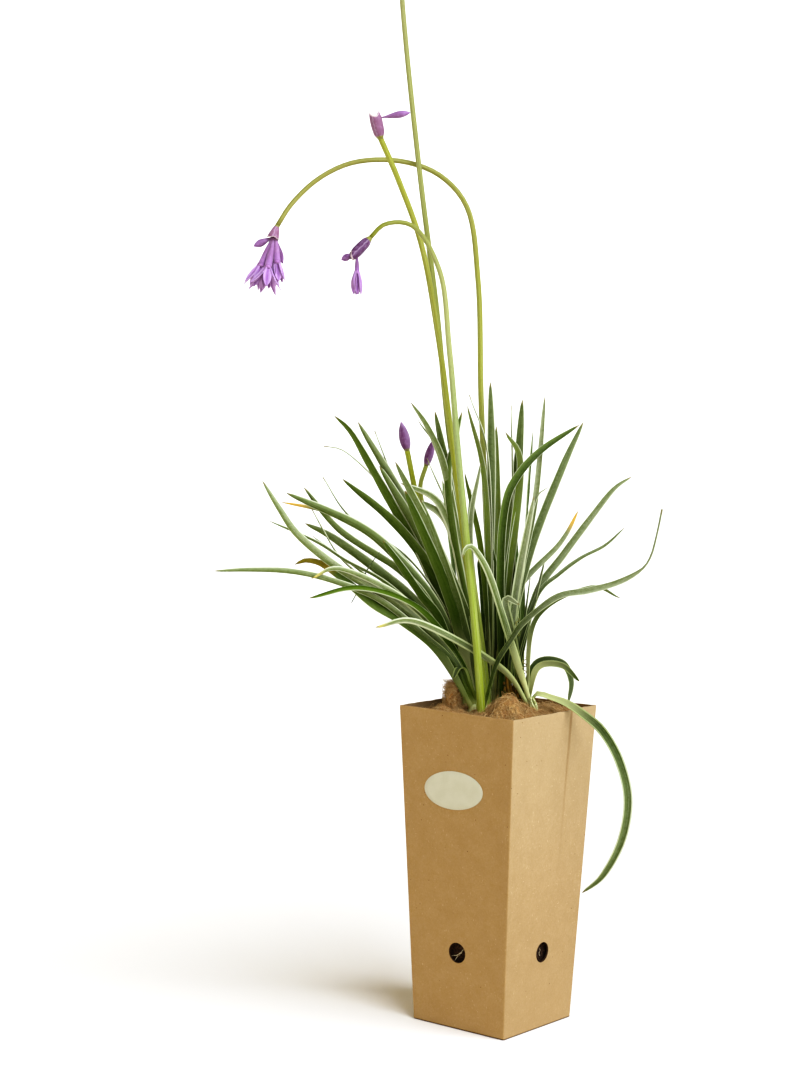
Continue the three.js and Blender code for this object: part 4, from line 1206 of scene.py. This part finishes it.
def make_carton():
    shell = link(bpy.data.objects.new("carton_board", carton_mesh()))
    cut_vents(shell)
    material = kraft_material()
    shell.data.materials.clear()
    shell.data.materials.append(material)
    shell.data.polygons.foreach_set("use_smooth", [True] * len(shell.data.polygons))
    shell.data.set_sharp_from_angle(angle=math.radians(40))
    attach(shell, "root")
    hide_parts("carton")

    # The flap that closes the sleeve, glued behind the +X wall
    build = Build()
    rings = []
    for z in np.linspace(3 * BOARD, CARTON_HEIGHT - 2, 12):
        outer, inner = wall_half(z) - BOARD / 2, wall_half(z) - 2 * BOARD + 0.2
        back, free = wall_half(z) - BOARD / 2, wall_half(z) - BOARD - GLUE_FLAP_WIDTH
        corners = [(outer, back), (inner, back), (inner, free + 0.6), (inner + 0.5, free), (outer, free)]
        rings.append([(x, y, z) for x, y in corners])
    build.loft(rings)
    build.piece("carton_glue_flap", material, "kraft_board", smooth=False)

    # Bottom flaps folded over one another, seen from below
    build = Build()
    half = BASE_WIDTH / 2 - 1.2
    for sign in (-1, 1):
        corners = ((half, -half + 2), (half, half - 2), (0.4, half - 4), (0.4, -half + 4))
        edge = [(sign * x, y) for x, y in corners][::sign]
        rings = [[(x, y, z) for x, y in edge] for z in (0.05, BOARD - 0.2)]
        build.loft(rings)
    build.piece("carton_bottom_flaps", material, "kraft_board", smooth=False)


make_carton()


# Label, left bare


def paper_material():
    s = Shader("label_paper", Specular_IOR_Level=0.4, Coat_Weight=0.15, Coat_Roughness=0.4)
    place = s.place()
    cloudy = s.noise(place, 0.12, 3)
    fibre = s.noise(s.stretch(place, (1, 1, 2.2)), 1.3, 5, 0.7)
    color = s.blend(s.step(cloudy, 0.3, 0.7), (194, 188, 160), (189, 183, 153))
    color = s.blend(s.step(fibre, 0.45, 0.75, 0, 0.3), color, (204, 200, 178))
    s.bump(fibre, 0.06, 0.3)
    return s.finish(color, s.step(fibre, 0.3, 0.7, 0.5, 0.62))


def make_label():
    a = turn_angles(128)
    tilt = math.radians(LABEL_TILT)
    rings = []
    # The paper's rings, from its glued edge to its middle: how far in, and how far out from the wall
    for inset, out in ((0, 0), (0, 0.2), (0.12, 0.3), (4, 0.3), (9, 0.3), (12.8, 0.3)):
        x = (LABEL_SIZE[0] / 2 - inset) * np.cos(a)
        z = (LABEL_SIZE[1] / 2 - inset) * np.sin(a)
        across, up = x * math.cos(tilt) + z * math.sin(tilt), z * math.cos(tilt) - x * math.sin(tilt)
        rings.append(np.stack([across, -out + 0 * a, up], -1))
    rings = np.array(rings)[:, ::-1]
    lean = np.array(Matrix.Rotation(WALL_LEAN, 3, "X"))
    foot = np.array([LABEL_CENTRE[0], -wall_half(LABEL_CENTRE[1]) - 0.1, LABEL_CENTRE[1]])
    build = Build()
    build.loft(rings @ lean.T + foot)
    build.piece("label_oval", paper_material(), "label_paper", "label")


make_label()


# Coir mat

# Where each lump of the mat is in the plant's frame, its height and its spread
COIR_LUMPS = (
    (5, -31, 15, 10), (-38, -16, 6, 12), (30, -18, 4, 12), (34, 14, 4, 13), (-4, 34, 5, 14), (0, 2, 6, 24),
)
MAT_CELLS = 150
LOOSE_FIBRES = 3600
TUFT_HAIRS = 1500
COIR_SEED = 41
BUMPS = ripple(8, 7, 22, 2.2)
STRAY = ripple(9, 5, 30, 6)


def coir_top(x, y):
    """Height of the mat at a place in the carton's frame."""
    px, py = to_plant(x, y)
    z = COIR_EDGE + 1.2 * np.sin(px / 4.5 + 1) * np.cos(py / 5.5)
    for at_x, at_y, height, spread in COIR_LUMPS:
        z = z + height * np.exp(-((px - at_x) ** 2 + (py - at_y) ** 2) / (2 * spread**2))
    return z


def mat_height(x, y):
    place = np.stack([x, y, 0 * x], -1)
    return coir_top(x, y) + 1.6 * BUMPS(place) + 0.5 * STRAY(place * 3)


def coir_material(name, dark, light, warm):
    s = Shader(name, Specular_IOR_Level=0.1)
    place = s.place()
    fibres = s.noise(place, 1.1, 5, 0.7, 1.5)
    clumps = s.noise(place, 0.16, 3)
    (tint,) = s.attributes("tint")
    color = s.blend(s.step(fibres, 0.3, 0.7), dark, light)
    # Painted light: on the mat and the tuft the tint follows their bumps, so its low end is painted shade
    # in the hollows and its high end a painted highlight on the rises; on loose fibres it is a random tone
    color = s.layers(
        color,
        (clumps, 0.4, 0.65, 0, 0.5, warm),
        (tint, 0.0, 1.0, 0.5, 0, dark),
        (tint, 0.7, 1.0, 0, 0.6, (214, 186, 128)),
    )
    s.bump(fibres, 0.7, 0.8)
    return s.finish(color, s.step(clumps, 0.3, 0.7, 0.85, 0.96))


def make_mat():
    half = wall_half(COIR_EDGE) - BOARD - 0.3
    c = np.linspace(-half, half, MAT_CELLS + 1)
    x, y = np.meshgrid(c, c)
    z = mat_height(x, y)
    n = MAT_CELLS + 1
    top = np.stack([x, y, z], -1).reshape(-1, 3)
    faces = []
    for j in range(MAT_CELLS):
        row = j * n + np.arange(MAT_CELLS)
        faces += np.stack([row, row + 1, row + n + 1, row + n], 1).tolist()
    border = [*range(n), *(j * n + n - 1 for j in range(1, n))]
    border += [(n - 1) * n + i for i in range(n - 2, -1, -1)]
    border += [j * n for j in range(n - 2, 0, -1)]
    low = top[border].copy()
    low[:, 2] = MIX_TOP + 0.3
    low[:, :2] *= (wall_half(MIX_TOP) - BOARD - 0.6) / half
    first = len(top)
    count = len(border)
    for k in range(count):
        after = (k + 1) % count
        faces.append([border[k], first + k, first + after, border[after]])
    faces.append([first + k for k in range(count)][::-1])
    build = Build()
    points = np.vstack([top, low])
    # The tint follows the bumps: painted shade in the hollows, painted highlight on the rises
    build.shape(points, faces, tint=0.45 + 0.4 * BUMPS(points * [1, 1, 0]))
    material = coir_material("coir_mat", (144, 103, 50), (212, 174, 110), (184, 130, 76))
    build.piece("coir_pad", material, "coir", "coir")


def strand(build, path, radius, tint, sides=3):
    """A thin solid fibre along a path in the carton's frame."""
    path = np.asarray(path, float)
    tangents = unit(np.gradient(path, axis=0))
    shares = np.linspace(0, 1, len(path))
    radii = radius * (0.45 + 0.55 * np.sin(math.pi * np.clip(shares * 0.9 + 0.08, 0, 1)))
    first = unit(np.cross(tangents[0], [0.3, 0.5, 0.8]))
    build.loft(tube_rings(path, tangents, radii, sides, first), tint=tint)


def matted_fibres(draw, count):
    """Loose curling fibres lying on the mat, scattered evenly over it."""
    build = Build()
    half = wall_half(COIR_EDGE) - BOARD - 1.5
    s = np.linspace(0, 1, 8)
    for _ in range(count):
        x, y = draw.uniform(-half, half, 2)
        length = draw.uniform(5, 18)
        heading = draw.uniform(0, 6.28)
        bend = draw.normal(0, 2.2)
        angle = heading + bend * (s - 0.5)
        steps = length / 7
        px = x + np.cumsum(np.cos(angle)) * steps - length / 2 * math.cos(heading)
        py = y + np.cumsum(np.sin(angle)) * steps - length / 2 * math.sin(heading)
        px, py = np.clip(px, -half, half), np.clip(py, -half, half)
        lift = draw.uniform(0.0, 1.0) + draw.exponential(0.9) * np.sin(math.pi * s)
        pz = mat_height(px, py) + lift
        radius = draw.choice([0.07, 0.11, 0.2], p=[0.4, 0.35, 0.25])
        strand(build, np.stack([px, py, pz], -1), radius, draw.uniform(0, 1))
    return build


# The standing tuft: its place in the plant's frame, how far out and how high its hairs may reach, and its
# radius at each height
TUFT = (-33, -10)
TUFT_REACH = 7.4
TUFT_TOP = 244
TUFT_PROFILE = ((214, 5.6), (222, 5.2), (230, 4.6), (236, 4.2), (239, 3.4), (240, 1.8))


def tuft_core(build):
    """The matted block of coir beside the shoots."""
    rough = ripple(19, 9, 7, 1.6)
    a = turn_angles(48)
    heights = np.linspace(TUFT_PROFILE[0][0], TUFT_PROFILE[-1][0], 40)
    radii = np.interp(heights, *np.transpose(TUFT_PROFILE))
    x = TUFT[0] + radii[:, None] * np.cos(a)
    y = TUFT[1] + radii[:, None] * np.sin(a)
    rings = np.stack([x, y, heights[:, None] + 0 * a], -1)
    bumps = rough(rings)
    rings[..., :2] += (rings[..., :2] - TUFT) * 0.3 * bumps[..., None]
    # The tint follows the lumps: painted shade where the tuft dips in, painted highlight where it bulges
    # out
    build.loft(to_row(rings), tint=0.5 + 0.4 * bumps)


def standing_wisps(build, draw):
    """Curling hairs all over the tuft, most of all at its ragged top."""
    s = np.linspace(0, 1, 9)
    for _ in range(TUFT_HAIRS):
        angle = draw.uniform(0, 6.28)
        z = draw.uniform(216, 241)
        reach = draw.uniform(0.6, 1.05) * np.interp(z, *np.transpose(TUFT_PROFILE)) + 0.4
        heading = draw.normal([0, 0, 0.7], [0.8, 0.8, 0.9])
        heading = heading / np.linalg.norm(heading) * draw.uniform(3, 9)
        curl = draw.uniform(2, 7)
        sweep = 0.9 * np.stack([np.sin(curl * s + angle), np.cos(curl * s), np.sin(curl * s)], -1)
        start = np.array([TUFT[0] + reach * math.cos(angle), TUFT[1] + reach * math.sin(angle), z])
        path = start + heading * s[:, None] + sweep - sweep[0]
        off = path[:, :2] - TUFT
        path[:, :2] = TUFT + off * np.minimum(1, TUFT_REACH / np.linalg.norm(off, axis=1))[:, None]
        path[:, 2] = np.minimum(path[:, 2], TUFT_TOP)
        strand(build, to_row(path), draw.uniform(0.06, 0.16), draw.uniform(0, 1))


def make_coir():
    make_mat()
    draw = np.random.default_rng(COIR_SEED)
    material = coir_material("coir_fibre", (166, 124, 68), (234, 204, 142), (200, 146, 90))
    loose = matted_fibres(draw, LOOSE_FIBRES)
    loose.piece("coir_fibres", material, "coir")
    core = Build()
    tuft_core(core)
    block = coir_material("coir_block", (158, 112, 56), (220, 172, 104), (190, 132, 70))
    core.piece("coir_tuft", block, "coir")
    wisps = Build()
    standing_wisps(wisps, draw)
    wisps.piece("coir_tuft_hairs", material, "coir")


make_coir()


# Small things at the foot of the plant

FOOT_SEED = 59


def plain_skin(name, low, high, scale=0.8):
    s = Shader(name, Specular_IOR_Level=0.2)
    streak = s.noise(s.place(), scale, 4)
    color = s.blend(s.step(streak, 0.35, 0.65), low, high)
    return s.finish(color, s.step(streak, 0, 1, 0.55, 0.75))


def bundle(build, draw, count, spots, lean, bend, foot, rise, thickness):
    """Short strands that start close together, each with its own lean, bend, rise and radius."""
    s = np.linspace(0, 1, 12)
    for _ in range(count):
        x, y = (draw.uniform(*spot) for spot in spots)
        lean_x, lean_y = draw.normal(*lean)
        size, waves = bend
        sideways = x + lean_x * s + size * np.sin(waves * s + x)
        sense, *reach = rise
        path = np.stack([sideways, y + lean_y * s, foot + sense * draw.uniform(*reach) * s], -1)
        strand(build, to_row(path), draw.uniform(*thickness), 0.5, sides=8)
    return build


def make_foot_bits():
    """Pale new roots out of the right-hand clump, withered sheaths behind it and dried tendrils."""
    draw = np.random.default_rng(FOOT_SEED)
    roots = bundle(
        Build(), draw, 9, ((20.5, 25.5), (-14.5, -10)), ([1.6, -2.4], [1.6, 0.8]), (0.4, 7), 233,
        (-1, 9, 14), (0.5, 0.9),
    )
    roots.piece("clump_new_roots", plain_skin("new_root", (150, 156, 84), (206, 206, 150)), "leaf")
    withered = bundle(
        Build(), draw, 46, ((4, 20), (-9, 5)), ([0, -1], 1.6), (1.2, 4), 221, (1, 12, 28), (0.7, 1.5)
    )
    dull = plain_skin("withered_sheath", (52, 54, 8), (122, 88, 20), 0.35)
    withered.piece("withered_sheaths", dull, "leaf")
    stray = Build()
    route = spline([(-105, -12, 297), (-99, -13, 309), (-94, -12, 321), (-86, -12, 333)], samples=8)
    strand(stray, to_row(route), 0.55, 0.5, sides=8)
    stray.piece("stray_dead_leaf", plain_skin("dead_leaf", (52, 62, 26), (96, 104, 62)), "leaf")
    tendrils = Build()
    s = np.linspace(0, 1, 12)
    turns = 5 * math.pi * s
    for x, y, low, high in ((11.5, -16, 276, 289), (17, -17, 250, 262)):
        path = np.stack([x + 1.5 * np.sin(turns), y + 1.2 * np.cos(turns), mix(low, high, s)], -1)
        strand(tendrils, to_row(spline(path, samples=5)), 0.35, 0.5, sides=6)
    tendrils.piece("dried_tendrils", plain_skin("dried_tendril", (84, 84, 20), (140, 128, 60)), "leaf")


make_foot_bits()


# Root ball

BALL_PLAY = 0.9
# Roots behind the vents: a radius, then where each goes across and up from the vent's middle
VENT_ROOTS = (
    (
        (0.32, (-7.5, -4.2), (-5.6, -3.3), (-1.8, -2.4), (1.2, 0), (3.8, 2.6), (6, 5)),
        (0.3, (-4, -7), (-2.2, -3.9), (0, -2.3), (0.8, -1.6)),
        (0.22, (0, -1.6), (1.5, -0.6), (2.8, 1.6), (3.6, 2.2)),
    ),
    ((0.2, (0.8, -3.4), (0.4, -1.4), (0.9, 0.8), (0.5, 2.6)),),
)


def soil_material():
    s = Shader("potting_mix", Specular_IOR_Level=0.12)
    place = s.place()
    crumbs = s.cells(place, 0.5)
    fine = s.noise(place, 1.2, 5, 0.7)
    color = s.blend(s.step(crumbs, 0.1, 0.9), (30, 20, 13), (66, 46, 30))
    color = s.blend(s.step(fine, 0.5, 0.75, 0, 0.6), color, (98, 74, 48))
    s.bump(s.plus(fine, crumbs), 0.8, 0.9)
    return s.finish(color, s.step(fine, 0.3, 0.7, 0.85, 0.97))


def make_root_ball():
    lumps = ripple(17, 8, 26, 2.6)
    columns = np.linspace(-1, 1, 41)
    rings = []
    for z in np.linspace(2 * BOARD + 0.3, MIX_TOP, 110):
        section = square_section(wall_half(z) - BOARD - BALL_PLAY, 3.0, columns)
        points = np.column_stack([section, np.full(len(section), z)])
        inward = 0.5 + 0.5 * lumps(points)
        points[:, :2] *= (1 - 0.05 * inward)[:, None]
        rings.append(points)
    build = Build()
    build.loft(np.array(rings))
    build.piece("root_ball_mix", soil_material(), "potting_mix", "root_ball")

    build = Build()
    depth = wall_half(VENT_HEIGHT) - BOARD - BALL_PLAY
    for side in range(4):
        turn = np.array(Matrix.Rotation(side * math.pi / 2, 3, "Z"))
        for radius, *route in VENT_ROOTS[side % 2]:
            points = [(x, 0.5 * k % 1 - depth, VENT_HEIGHT + up) for k, (x, up) in enumerate(route)]
            strand(build, spline(points)[::6] @ turn.T, radius, 0.5, sides=8)
    build.piece("root_ball_roots", plain_skin("pale_root", (120, 98, 66), (196, 182, 146)), "potting_mix")


make_root_ball()
